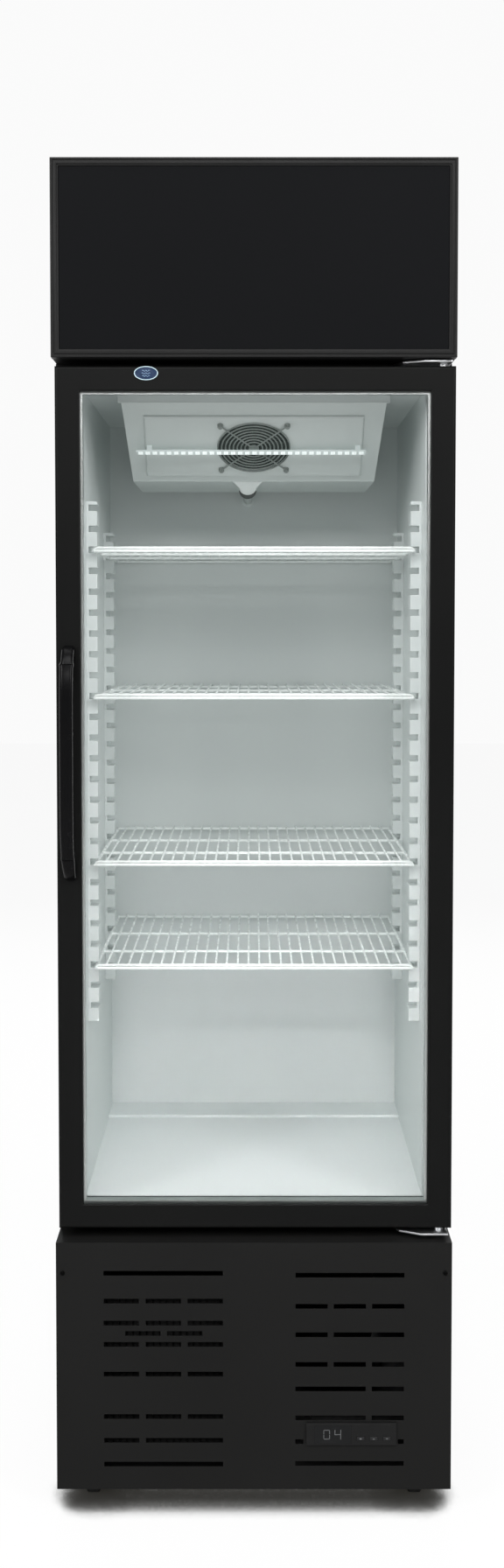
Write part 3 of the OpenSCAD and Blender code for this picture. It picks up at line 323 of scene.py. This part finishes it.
def keep_flats(mesh):
    """Flat shading where smoothed corners would lean away from the face they belong to."""
    normals = [Vector(corner.vector) for corner in mesh.corner_normals]
    points = mesh.vertices
    leaning = []
    for face in mesh.polygons:
        lean = min(face.normal.dot(normals[i]) for i in face.loop_indices)
        longest = max((points[a].co - points[b].co).length for a, b in face.edge_keys)
        broad = face.area > longest * BROAD_FACE
        if lean < FAR_LEAN or (lean < SLIGHT_LEAN and broad):
            leaning.append(face.index)
    for index in leaning:
        mesh.polygons[index].use_smooth = False


def mesh_from(bm, name, degrees=35):
    """Turns a bmesh into a shaded mesh and frees it."""
    mesh = bpy.data.meshes.new(name)
    bm.normal_update()
    bm.to_mesh(mesh)
    bm.free()
    smooth_by_angle(mesh, degrees)
    keep_flats(mesh)
    return mesh


def clean_copy(node):
    """A bmesh of a CAD node with its flat faces joined up."""
    bm = bmesh.new()
    bm.from_mesh(NODES[node].data)
    bmesh.ops.remove_doubles(bm, verts=bm.verts, dist=0.00002)
    bmesh.ops.dissolve_limit(bm, angle_limit=math.radians(0.5), verts=bm.verts, edges=bm.edges,
                             use_dissolve_boundaries=False)
    return bm


def round_edges(bm, radius, segments=2, least_angle=30, where=None):
    """Rounds the edges that are sharper than an angle."""
    edges = []
    for edge in bm.edges:
        if len(edge.link_faces) != 2 or edge.calc_face_angle(0) < math.radians(least_angle):
            continue
        if where is None or where(edge):
            edges.append(edge)
    bmesh.ops.bevel(bm, geom=edges, offset=radius, segments=segments, profile=0.5, affect="EDGES",
                    clamp_overlap=True)


def softened(node, radius, segments=2, least_angle=30, where=None):
    """Replaces a CAD node by the same shape with rounded edges."""
    bm = clean_copy(node)
    round_edges(bm, radius, segments, least_angle, where)
    return add_piece(node + "_soft", mesh_from(bm, node + "_soft"), LOOK_OF[node],
                     BODY_OF[node], [node])


def around(radius, k, sides):
    """The k-th of the points spaced evenly round a circle."""
    angle = 2 * math.pi * k / sides
    return radius * math.cos(angle), radius * math.sin(angle)


def skin_into(bm, rings, closed=False):
    """Joins rings of vertices into a skin, with its ends closed unless it runs round."""
    for a, b in zip(rings, rings[1:] + (rings[:1] if closed else [])):
        for k in range(len(a)):
            bm.faces.new((a[k], a[(k + 1) % len(a)], b[(k + 1) % len(a)], b[k]))
    if not closed:
        bm.faces.new(list(reversed(rings[0])))
        bm.faces.new(rings[-1])


def tube_into(bm, points, radius, sides=8, closed=False):
    """Sweeps a round section, of one radius or one for each point, along a list of points."""
    points = [Vector(p) for p in points]
    count = len(points)
    radii = radius if isinstance(radius, list) else [radius] * count
    rings = []
    turn = None
    for i, point in enumerate(points):
        before, after = (points[i - 1], points[(i + 1) % count]) if closed else (
            points[max(i - 1, 0)], points[min(i + 1, count - 1)])
        way = (after - before).normalized()
        if turn is None:
            turn = way.to_track_quat("Z", "Y")
        else:
            turn = (turn @ Vector((0, 0, 1))).rotation_difference(way) @ turn
        rings.append([bm.verts.new(point + turn @ Vector((*around(radii[i], k, sides), 0)))
                      for k in range(sides)])
    skin_into(bm, rings, closed)


def block_into(bm, low, high, matrix=Matrix.Identity(4), bevel=0.0):
    """A box between two corners, with its edges rounded."""
    made = bmesh.ops.create_cube(bm, size=1.0)
    verts = made["verts"]
    low, high = Vector(low), Vector(high)
    for vert in verts:
        place = [low[i] + (vert.co[i] + 0.5) * (high[i] - low[i]) for i in range(3)]
        vert.co = matrix @ Vector(place)
    if bevel:
        edges = list({edge for vert in verts for edge in vert.link_edges})
        bmesh.ops.bevel(bm, geom=edges, offset=bevel, segments=2, profile=0.5, affect="EDGES")


# ---- Sheet metal, door frame and mouldings, with rounded folds ----

for node, radius in {
    "sign_frame": 0.6, "sign_panel": 0.5, "sign_housing": 0.5,
    "front_grille": 0.35, "side_panel_left": 0.35, "side_panel_right": 0.35, "top_panel": 0.3,
    "rear_panel": 0.3, "rear_vent_cover": 0.3, "controller_bezel": 0.7,
    "hinge_brackets": 0.4, "door_gasket": 1.4, "evaporation_tray": 0.6, "shelf_rails": 0.5,
    "key_set": 0.3, "key_up": 0.3, "key_down": 0.3,
}.items():
    softened(node, radius * MM)


FAN_MIDDLE = Vector((0, -86, 1640)) * MM
COVER_SLOPE = math.radians(34.3)
ON_COVER = Matrix.Translation(FAN_MIDDLE) @ Matrix.Rotation(-COVER_SLOPE, 4, "X")
OFF_COVER = ON_COVER.inverted()
PAN_RISE = 4 * MM


def pan_rim(edge):
    """The long edges round the raised pan of the evaporator cover."""
    return edge.calc_length() > 50 * MM and all(
        abs((OFF_COVER @ vert.co).z + PAN_RISE) < 0.3 * MM for vert in edge.verts)


bm = clean_copy("evaporator_cover")
round_edges(bm, 3.8 * MM, 5, 30, pan_rim)
round_edges(bm, 0.6 * MM, 2, 50)
add_piece("evaporator_cover_soft", mesh_from(bm, "evaporator_cover_soft"), shaded_cover_white, "cabinet",
          ["evaporator_cover"])


def along_bar(edge):
    """Edges that run along X or Z, so that a mitred end stays sharp."""
    way = (edge.verts[1].co - edge.verts[0].co).normalized()
    return max(abs(way.x), abs(way.z)) > 0.999


def front_arris(edge):
    """The long edges of the door's front face."""
    return along_bar(edge) and all(vert.co.y < DOOR_FACE + 0.5 * MM for vert in edge.verts)


DOOR_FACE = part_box("door_rails")[0].y
for node in ("door_stiles", "door_rails"):
    bm = clean_copy(node)
    round_edges(bm, 1.8 * MM, 4, 30, front_arris)
    round_edges(bm, 0.4 * MM, 1, 60, along_bar)
    add_piece(node + "_soft", mesh_from(bm, node + "_soft"), door_coat, "door",
              [node])


def inner_corner(edge):
    """The liner's edges where two inner walls meet."""
    middle = (edge.verts[0].co + edge.verts[1].co) / 2
    inside = abs(middle.x) < LINER_HALF and LINER_FLOOR < middle.z < LINER_TOP
    return middle.y > LINER_MOUTH + 0.5 * MM and inside and edge.calc_length() > 0.06


def mouth_edge(edge):
    """The edges round the liner's open front."""
    return all(vert.co.y < LINER_MOUTH for vert in edge.verts)


def floor_step(edge):
    """The two long edges of the low step along the back of the liner's floor."""
    return edge.calc_length() > 400 * MM and all(
        abs(vert.co.y - FLOOR_STEP) < 0.5 * MM and abs(vert.co.x) < LINER_HALF
        for vert in edge.verts)


# The liner's inner faces, each with half a millimetre to spare
LINER_HALF = 0.2605
LINER_FLOOR = 0.4695
LINER_TOP = 1.7105
LINER_MOUTH = -0.1965
FLOOR_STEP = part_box("evaporator_cover")[1].y - 28 * MM
bm = clean_copy("inner_liner")
round_edges(bm, 1.9 * MM, 4, 30, floor_step)
round_edges(bm, 9 * MM, 4, 30, inner_corner)
round_edges(bm, 1.0 * MM, 2, 60, mouth_edge)
add_piece("inner_liner_soft", mesh_from(bm, "inner_liner_soft"), liner_white, "cabinet",
          ["inner_liner"])


# ---- Handle ----

def handle_section(width, depth, corner, steps=4):
    """A rounded rectangle as (x, y) points."""
    points = []
    for sx, sy, start in ((1, 1, 0), (-1, 1, 90), (-1, -1, 180), (1, -1, 270)):
        for k in range(steps + 1):
            angle = math.radians(start + 90 * k / steps)
            points.append((sx * (width / 2 - corner) + corner * math.cos(angle),
                           sy * (depth / 2 - corner) + corner * math.sin(angle)))
    return points


HANDLE_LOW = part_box("handle_caps")[0]
HANDLE_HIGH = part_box("handle_caps")[1]
HANDLE_PROUD = -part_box("handle_grip")[0].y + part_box("door_stiles")[0].y
# The space behind the grip starts at this fraction of the length
FINGER_ROOM_FROM = 0.07
# Half of the joint between the grip and a cap, as a fraction of the length
CAP_JOINT = 0.0015


def handle_sides(f):
    """How far each side stands in from the handle's box at a fraction of its length."""
    length = HANDLE_HIGH.z - HANDLE_LOW.z
    left = right = 0.0
    if f > GRIP_TO:
        left = 1.4 * MM
    elif f < GRIP_FROM:
        left = 1.2 * MM + 3.2 * MM * (1 - f / GRIP_FROM)
        right = -0.9 * MM
    else:
        low_part = max(0.0, 1 - (f - GRIP_FROM) / 0.12)
        left = 1.2 * MM * low_part
        for joint in (GRIP_FROM, GRIP_TO):
            ear = max(0.0, 1 - abs(f - joint) * length / (9 * MM))
            left -= 1.3 * MM * ear ** 2
            right -= 1.1 * MM * ear ** 2
    reach = min(f, 1 - f) * length
    radius = 6 * MM
    if reach < radius:
        round_in = radius - math.sqrt(max(0.0, radius ** 2 - (radius - reach) ** 2))
        left += round_in
        right += round_in
    return left, right


def bow(f):
    """How far the handle stands out at a fraction of its length, from 0 to 1."""
    return max(0.0, 1 - abs(2 * f - 1) ** 5) ** 0.5


def bowed_bar(name, start, end, rows, replaces):
    """The stretch of the bowed handle between two fractions of its length."""
    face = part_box("door_stiles")[0].y
    length = HANDLE_HIGH.z - HANDLE_LOW.z
    bm = bmesh.new()
    rings = []
    for i in range(rows + 1):
        f = start + (end - start) * i / rows
        inner_f = (f - FINGER_ROOM_FROM) / (1 - 2 * FINGER_ROOM_FROM)
        inner = bow(inner_f) if 0 <= inner_f <= 1 else 0.0
        outer_y = face - HANDLE_PROUD * bow(f)
        inner_y = face - (HANDLE_PROUD - 14 * MM) * inner
        depth = max(inner_y - outer_y, 0.4 * MM)
        left_in, right_in = handle_sides(f)
        left, right = HANDLE_LOW.x + left_in, HANDLE_HIGH.x - right_in
        width = right - left
        corner = min(5 * MM, width / 2.2, depth / 2.2)
        middle = Vector(((left + right) / 2, (outer_y + inner_y) / 2, HANDLE_LOW.z + length * f))
        rings.append([bm.verts.new(middle + Vector((x, y, 0)))
                      for x, y in handle_section(width, depth, corner)])
    skin_into(bm, rings)
    return add_piece(name, mesh_from(bm, name, 50), grip_plastic, "door", replaces)


GRIP_FROM = (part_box("handle_grip")[0].z - HANDLE_LOW.z) / (HANDLE_HIGH.z - HANDLE_LOW.z)
GRIP_TO = (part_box("handle_grip")[1].z - HANDLE_LOW.z) / (HANDLE_HIGH.z - HANDLE_LOW.z)
bowed_bar("handle_grip_bar", GRIP_FROM + CAP_JOINT, GRIP_TO - CAP_JOINT, 60, ["handle_grip"])
bowed_bar("handle_cap_low", 0.0008, GRIP_FROM - CAP_JOINT, 30, ["handle_caps"])
bowed_bar("handle_cap_high", GRIP_TO + CAP_JOINT, 0.9992, 30, ["handle_caps"])


def handle_seam_highlight(side):
    """The raised moulding line along one side of the handle, coloured lighter than the grip as a
    painted highlight of its rounded edge.
    """
    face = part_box("door_stiles")[0].y
    length = HANDLE_HIGH.z - HANDLE_LOW.z
    points = []
    for i in range(81):
        f = 0.02 + 0.96 * i / 80
        left_in, right_in = handle_sides(f)
        x = (HANDLE_LOW.x + left_in + 0.5 * MM if side < 0
             else HANDLE_HIGH.x - right_in - 0.5 * MM)
        points.append((x, face - HANDLE_PROUD * bow(f) + 3.4 * MM, HANDLE_LOW.z + length * f))
    bm = bmesh.new()
    tube_into(bm, points, 0.75 * MM, 8)
    name = "handle_seam_highlight_left" if side < 0 else "handle_seam_highlight_right"
    add_piece(name, mesh_from(bm, name, 60), seam_highlight_plastic, "door")


handle_seam_highlight(-1)
handle_seam_highlight(1)


# ---- Shelves ----

def shelf(node):
    """A coated wire shelf: frame rods, cross rods, and wires turned down at the front."""
    low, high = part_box(node)
    rod, wire = 2.5 * MM, 1.6 * MM
    side_x = high.x - rod
    base_z = low.z + rod
    wire_z = high.z - wire
    front_y, back_y = low.y + 2.7 * MM, high.y - 2.2 * MM
    bm = bmesh.new()
    for sign in (-1, 1):
        tube_into(bm, [(sign * side_x, front_y, base_z), (sign * side_x, back_y, base_z)], rod, 12)
    for f in (0, 0.29, 0.63, 1):
        y = front_y + f * (back_y - front_y)
        tube_into(bm, [(-side_x, y, base_z), (side_x, y, base_z)], rod * 0.96, 12)
    upper = wire_z + 0.1 * MM
    turn = 7 * MM
    tube_into(bm, [(-side_x, front_y, base_z),
                   (-side_x + turn * 0.3, front_y - 0.4 * MM, upper - 1.2 * MM),
                   (-side_x + turn, front_y - 0.6 * MM, upper),
                   (side_x - turn, front_y - 0.6 * MM, upper),
                   (side_x - turn * 0.3, front_y - 0.4 * MM, upper - 1.2 * MM),
                   (side_x, front_y, base_z)], rod * 0.84, 12)
    for i in range(1, SHELF_WIRES + 1):
        x = -side_x + 2 * side_x * i / (SHELF_WIRES + 1)
        tube_into(bm, [(x, back_y + 1.4 * MM, wire_z - 0.6 * MM), (x, back_y - 2 * MM, wire_z),
                       (x, front_y + 4 * MM, wire_z), (x, front_y + 2.2 * MM, wire_z - 0.5 * MM),
                       (x, front_y + 1.2 * MM, wire_z - 2 * MM),
                       (x, front_y + 1.0 * MM, base_z)], wire, 8)
    add_piece(node + "_wires", mesh_from(bm, node + "_wires", 50), wire_white, "cabinet",
              [node])


SHELF_WIRES = 28
for number in (1, 2, 3, 4):
    shelf(f"shelf_{number}")


# ---- Light bar and drain spout on the sloped cover ----

BAR_LOW, BAR_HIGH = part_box("led_bar")
CHIP_PITCH = 11.3 * MM
bm = bmesh.new()
count = int((BAR_HIGH.x - BAR_LOW.x) / CHIP_PITCH)
for i in range(count):
    x = BAR_LOW.x + (i + 0.65) * CHIP_PITCH
    block_into(bm, (x - 3.6 * MM, -4.4 * MM, -17.35 * MM), (x + 3.6 * MM, 2.4 * MM, -16.2 * MM),
               ON_COVER, 0.35 * MM)
add_piece("light_chips", mesh_from(bm, "light_chips"), led_spot, "cabinet")


def fan_of(outline, y0, y1, bevel):
    """A bmesh of an upright outline of (x, z) points, with rounded rims."""
    bm = bmesh.new()
    front = [bm.verts.new((x, y0, z)) for x, z in outline]
    back = [bm.verts.new((x, y1, z)) for x, z in outline]
    bm.faces.new(front)
    bm.faces.new(list(reversed(back)))
    for k in range(len(outline)):
        n = (k + 1) % len(outline)
        bm.faces.new((front[k], back[k], back[n], front[n]))
    bmesh.ops.recalc_face_normals(bm, faces=bm.faces)
    if bevel:
        rims = [edge for edge in bm.edges if abs(edge.verts[0].co.y - edge.verts[1].co.y) < 1e-6]
        bmesh.ops.bevel(bm, geom=rims, offset=bevel, segments=3, profile=0.5, affect="EDGES",
                        clamp_overlap=True)
    return bm


SPOUT_X = (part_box("drain_hose")[0].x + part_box("drain_hose")[1].x) / 2
COVER_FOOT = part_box("evaporator_cover")[0].z
SPOUT_Y = (OFF_COVER.inverted() @ Vector((0, 89 * MM, 0))).y + 1 * MM
SPOUT_R = 14 * MM
SPOUT_Z = COVER_FOOT - 11 * MM
outline = [(SPOUT_X - 26 * MM, COVER_FOOT + 0.5 * MM), (SPOUT_X - 20 * MM, COVER_FOOT - 5 * MM)]
for k in range(13):
    angle = math.radians(180 + 180 * k / 12)
    outline.append((SPOUT_X + SPOUT_R * math.cos(angle), SPOUT_Z + SPOUT_R * math.sin(angle)))
outline += [(SPOUT_X + 20 * MM, COVER_FOOT - 5 * MM), (SPOUT_X + 26 * MM, COVER_FOOT + 0.5 * MM)]
bm = fan_of(outline, SPOUT_Y, SPOUT_Y + 38 * MM, 1.6 * MM)
add_piece("drain_spout", mesh_from(bm, "drain_spout"), shaded_cover_white, "cabinet",
          ["drain_hose"])
bm = bmesh.new()
lip = []
for k in range(19):
    angle = math.radians(196 + 148 * k / 18)
    lip.append((SPOUT_X + (SPOUT_R + 0.4 * MM) * math.cos(angle), SPOUT_Y - 0.2 * MM,
                SPOUT_Z + (SPOUT_R + 0.4 * MM) * math.sin(angle)))
widths = [(0.7 + 2.6 * math.sin(math.pi * k / 18)) * MM for k in range(19)]
tube_into(bm, lip, widths, 10)
add_piece("drain_lip", mesh_from(bm, "drain_lip", 60), rubber, "cabinet")
hose_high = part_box("drain_hose")[1].y - 8.2 * MM
bm = bmesh.new()
tube_z = COVER_FOOT - 12 * MM
tube_into(bm, [(SPOUT_X, SPOUT_Y + 30 * MM, tube_z), (SPOUT_X, hose_high - 14 * MM, tube_z),
               (SPOUT_X, hose_high - 4 * MM, tube_z - 4 * MM),
               (SPOUT_X, hose_high, tube_z - 14 * MM),
               (SPOUT_X, hose_high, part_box("drain_hose")[0].z)], 7 * MM, 16)
add_piece("drain_tube", mesh_from(bm, "drain_tube", 60), hose, "cabinet")
bm = bmesh.new()
wall_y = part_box("evaporator_cover")[1].y + 42 * MM
tube_into(bm, [(SPOUT_X, wall_y - 2.4 * MM, tube_z), (SPOUT_X, wall_y - 1.2 * MM, tube_z),
               (SPOUT_X, wall_y + 3 * MM, tube_z)], [9 * MM, 10.5 * MM, 10.5 * MM], 24)
add_piece("drain_collar", mesh_from(bm, "drain_collar"), liner_white, "cabinet")


# ---- Badge ----

def oval(a, b, steps=48):
    """Points round an oval with half axes a and b."""
    return [(a * math.cos(2 * math.pi * k / steps), b * math.sin(2 * math.pi * k / steps))
            for k in range(steps)]


BADGE_LOW, BADGE_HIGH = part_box("door_badge")
badge_mid = (BADGE_LOW + BADGE_HIGH) / 2
badge_a = (BADGE_HIGH.x - BADGE_LOW.x) / 2
badge_b = (BADGE_HIGH.z - BADGE_LOW.z) / 2
bm = bmesh.new()
rings = []
for share, rise in ((1.0, 0.0), (1.0, 0.45), (0.9, 0.7), (0.88, 0.62), (0.6, 0.78), (0.3, 0.86)):
    y = BADGE_HIGH.y - rise * (BADGE_HIGH.y - BADGE_LOW.y)
    rings.append([bm.verts.new((badge_mid.x + x, y, badge_mid.z + z))
                  for x, z in oval(badge_a * share, badge_b * share)])
skin_into(bm, rings)
bmesh.ops.recalc_face_normals(bm, faces=bm.faces)
add_piece("badge_plate", mesh_from(bm, "badge_plate"), badge_blue, "door",
          ["door_badge"])
bm = bmesh.new()
rim = [(badge_mid.x + x, BADGE_LOW.y + 0.75 * MM, badge_mid.z + z)
       for x, z in oval(badge_a - 0.8 * MM, badge_b - 0.8 * MM)]
tube_into(bm, rim, 0.75 * MM, 8, closed=True)
add_piece("badge_rim", mesh_from(bm, "badge_rim", 60), badge_rim, "door")
bm = bmesh.new()
for row, half in ((-4.2, 5.6), (-0.4, 6.4), (3.4, 5.6)):
    wave = [(badge_mid.x + half * MM * (2 * k / 20 - 1), BADGE_LOW.y + 0.28 * MM,
             badge_mid.z + (row + 0.9 * math.sin(k / 20 * 5 * math.pi)) * MM) for k in range(21)]
    tube_into(bm, wave, 0.62 * MM, 6)
add_piece("badge_waves", mesh_from(bm, "badge_waves", 60), badge_mark, "door")


# ---- Controller marks ----

SEGMENTS = {"0": "abcdef", "4": "bcfg"}


def digit_into(bm, figure, x, z, y, w, h, t):
    """Seven-bar digit with its lower left corner at (x, z)."""
    bars = {
        "a": (0, h - t, w, h), "d": (0, 0, w, t), "g": (0, (h - t) / 2, w, (h + t) / 2),
        "f": (0, h / 2, t, h), "e": (0, 0, t, h / 2),
        "b": (w - t, h / 2, w, h), "c": (w - t, 0, w, h / 2),
    }
    gap = t * 0.25
    for bar in SEGMENTS[figure]:
        x0, z0, x1, z1 = bars[bar]
        block_into(bm, (x + x0 + gap, y - 0.12 * MM, z + z0 + gap),
                   (x + x1 - gap, y + 0.1 * MM, z + z1 - gap), bevel=0.05 * MM)


WINDOW_LOW, WINDOW_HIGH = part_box("display_window")
bm = bmesh.new()
for k, figure in enumerate("04"):
    digit_into(bm, figure, WINDOW_LOW.x + (13 + 17 * k) * MM, WINDOW_LOW.z + 6 * MM,
               WINDOW_LOW.y, 11 * MM, 16 * MM, 2.2 * MM)
add_piece("display_digits", mesh_from(bm, "display_digits"), print_grey, "cabinet")

for node, outline in {
    "key_up": [(-2, -1), (2, -1), (0, 1.2)],
    "key_down": [(-2, 1), (0, -1.2), (2, 1)],
    "key_set": [(-1.6, -1), (1.6, -1), (1.6, 1), (-1.6, 1)],
}.items():
    low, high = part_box(node)
    mid = (low + high) / 2
    points = [(mid.x + x * MM, mid.z + z * MM) for x, z in outline]
    bm = fan_of(points, low.y - 0.06 * MM, low.y + 0.2 * MM, 0.03 * MM)
    add_piece(node + "_mark", mesh_from(bm, node + "_mark"), print_grey, node)


# ---- Camera, light and floor ----

def camera():
    """A level-framed view from a little over the middle of the door."""
    data = bpy.data.cameras.new("view")
    data.sensor_width = 36
    data.lens = 33.785
    data.shift_x = 0.0002
    data.shift_y = -0.0629
    data.clip_start = 0.01
    seen = bpy.data.objects.new("view", data)
    seen.location = (-0.0034, -2.4458, 1.3585)
    seen.rotation_euler = (math.radians(87.541), 0, 0)
    bpy.context.scene.collection.objects.link(seen)
    bpy.context.scene.camera = seen


def area_light(name, place, target, size, watts, spread=180):
    """A rectangular lamp that points at a target."""
    data = bpy.data.lights.new(name, "AREA")
    data.shape = "RECTANGLE"
    data.size, data.size_y = size
    data.energy = watts
    data.spread = math.radians(spread)
    lamp = bpy.data.objects.new(name, data)
    lamp.location = place
    lamp.rotation_euler = (Vector(target) - Vector(place)).to_track_quat("-Z", "Y").to_euler()
    bpy.context.scene.collection.objects.link(lamp)


def studio():
    """A pale floor that runs into a pale surround, with a contact shadow painted into the floor's
    glow, and soft lights.
    """
    bm = bmesh.new()
    bmesh.ops.create_grid(bm, x_segments=2, y_segments=2, size=FLOOR_HALF)
    floor = bpy.data.objects.new("floor", mesh_from(bm, "floor"))
    bpy.context.scene.collection.objects.link(floor)
    pale = Surface("studio_floor", (0.05, 0.05, 0.05), 0.9)
    pale.sheen(0.0)
    # The floor's glow is darkened under and beside the cabinet by an occlusion test: a painted
    # contact shadow.
    painted_shadow_ao = pale.add("ShaderNodeAmbientOcclusion", samples=16)
    painted_shadow_ao.inputs["Distance"].default_value = 0.074
    shade = pale.ramp(painted_shadow_ao.outputs["AO"], [
        (0.5, (0.022, 0.021, 0.018)), (0.62, (0.13, 0.13, 0.125)), (0.75, (1, 1, 1))])
    pale.link(shade, pale.bsdf.inputs["Emission Color"])
    pale.put("Emission Strength", BACKDROP - 0.03)
    floor.data.materials.append(pale.mat)
    world = bpy.data.worlds.new("studio")
    world.use_nodes = True
    tree = world.node_tree
    room = tree.nodes["Background"]
    room.inputs["Color"].default_value = (1, 1, 1, 1)
    room.inputs["Strength"].default_value = ROOM_LIGHT
    backdrop = tree.nodes.new("ShaderNodeBackground")
    backdrop.inputs["Color"].default_value = (1, 1, 1, 1)
    backdrop.inputs["Strength"].default_value = BACKDROP
    seen = tree.nodes.new("ShaderNodeLightPath")
    either = tree.nodes.new("ShaderNodeMixShader")
    tree.links.new(seen.outputs["Is Camera Ray"], either.inputs["Fac"])
    tree.links.new(room.outputs["Background"], either.inputs[1])
    tree.links.new(backdrop.outputs["Background"], either.inputs[2])
    tree.links.new(either.outputs["Shader"], tree.nodes["World Output"].inputs["Surface"])
    bpy.context.scene.world = world
    for name, place, target, size, watts, spread in LIGHTS:
        area_light(name, place, target, size, watts, spread)


# Each light's name, place, target, size in metres, power in watts and spread in degrees
LIGHTS = [
    ("low_strip", (0, -2.45, 1.95), (0, 0.2, 0.42), (0.9, 0.14), 0.85, 22),
    ("front_strip", (0, -4.9, 3.1), (0, -0.2, 0.9), (3.0, 0.5), 50, 180),
    ("high_front", (0, -2.5, 3.9), (0, -0.2, 0.7), (2.6, 1.2), 75, 180),
    ("front_left", (-3.0, -3.0, 3.2), (0, 0, 0.9), (1.2, 2.2), 138, 180),
    ("front_right", (3.0, -3.0, 3.2), (0, 0, 0.9), (1.2, 2.2), 138, 180),
    ("overhead", (0, -0.2, 4.6), (0, 0, 0.5), (3.0, 2.0), 50, 180),
    ("behind", (0, 3.6, 2.6), (0, 0, 1.1), (3.0, 2.4), 90, 180),
]
camera()
studio()
bpy.context.scene.view_settings.view_transform = "Standard"
